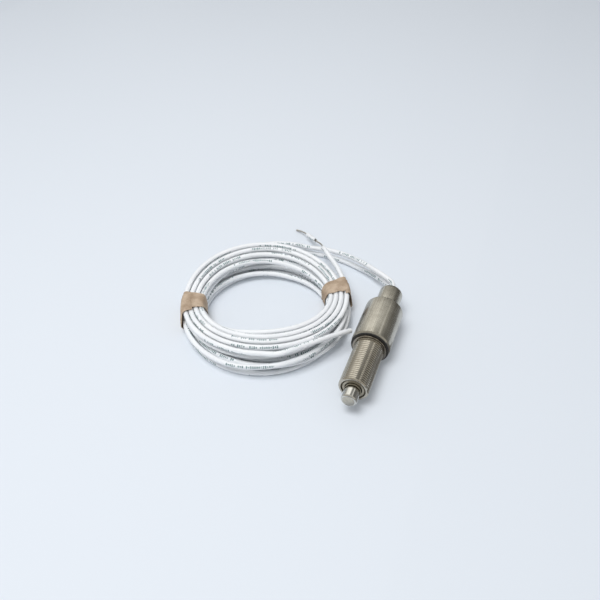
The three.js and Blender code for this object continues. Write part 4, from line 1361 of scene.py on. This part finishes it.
kraft = Finish("kraft_paper")
fibres = kraft.noise(FIBRE_SCALE, where=kraft.place(FIBRE_STRETCH))
stain = kraft.step(kraft.noise(STAIN_SCALE, 4.0), 0.36, 0.64)
creases = kraft.noise(CREASE_SCALE, 4.0, 0.7)
kraft.colour(kraft.between(stain * STAIN_SHARE + fibres * FIBRE_SHARE, *KRAFT_SHADES))
kraft.roughness(0.68 + 0.2 * fibres)
kraft.relief(creases * 0.8 + fibres * 0.2, CREASE_DEPTH, 0.5)

# Name, CAD node, angle of the tie, which way the wraps move, width and tail in mm, seed of the creases
BANDS = [
    ("paper_band_left", "tape_band_left", LEFT_TIE, 1, 12.0, 5.0, 3),
    ("paper_band_right", "tape_band_right", RIGHT_TIE, -1, 9.5, 2.0, 8),
]
for name, node, *shape in BANDS:
    band = band_strip(name, *shape)
    fit_piece(band, kraft, node)
    print(name, "faces", len(band.data.polygons))


# %% [markdown]
# ## The pieces inside
#
# The pieces that the housing hides keep their CAD shapes. Each still gets a finish of its own kind, so
# that the part can be opened or cut away later and look right.

# %% Inner finishes
GRAIN, GRAIN_RELIEF, GRAIN_RISE = (500.0, 0.35, 0.7), (0.00001, 0.3), 0.15
# Slot, name of the finish, light shade, dark shade, roughness, metallic
INNER_FINISHES = [
    ("ceramic", "white_ceramic", (0.82, 0.80, 0.75), (0.70, 0.68, 0.62), 0.5, 0.0),
    ("tungsten", "electrode_metal", (0.46, 0.44, 0.43), (0.30, 0.29, 0.28), 0.35, 1.0),
    ("spring_steel", "spring_steel", (0.60, 0.61, 0.63), (0.45, 0.45, 0.47), 0.25, 1.0),
    ("fibre", "tan_fibre", (0.44, 0.30, 0.17), (0.32, 0.21, 0.11), 0.75, 0.0),
    ("fluoropolymer", "white_liner", (0.85, 0.86, 0.85), (0.76, 0.77, 0.75), 0.5, 0.0),
    ("lead_jacket", "entry_jacket", (0.85, 0.86, 0.87), (0.78, 0.79, 0.80), 0.35, 0.0),
]
inner_finishes = {"tinned_copper": tinned, "seal_rubber": black_rubber}
for slot, name, light, dark, rough, metal in INNER_FINISHES:
    inner_finishes[slot] = speckled(
        name, light, dark, GRAIN, (rough, GRAIN_RISE), GRAIN_RELIEF, detail=4.0, metal=metal
    )
glass = Finish("envelope_glass", Roughness=0.03, Transmission_Weight=1.0, IOR=1.46)
glass.colour(glass.between(glass.noise(300.0, 2.0), (0.95, 0.97, 0.97), (0.90, 0.93, 0.93)))
inner_finishes["glass"] = glass

slots = {row["node"]: row["material_slot"] for row in frame["record"]["subparts"]}
inside = [(node, piece) for node, piece in frame["nodes"].items() if not piece.hide_render]
for node, piece in inside:
    inner_finishes[slots[node]].paint(piece)
print("CAD pieces kept inside:", len(inside))
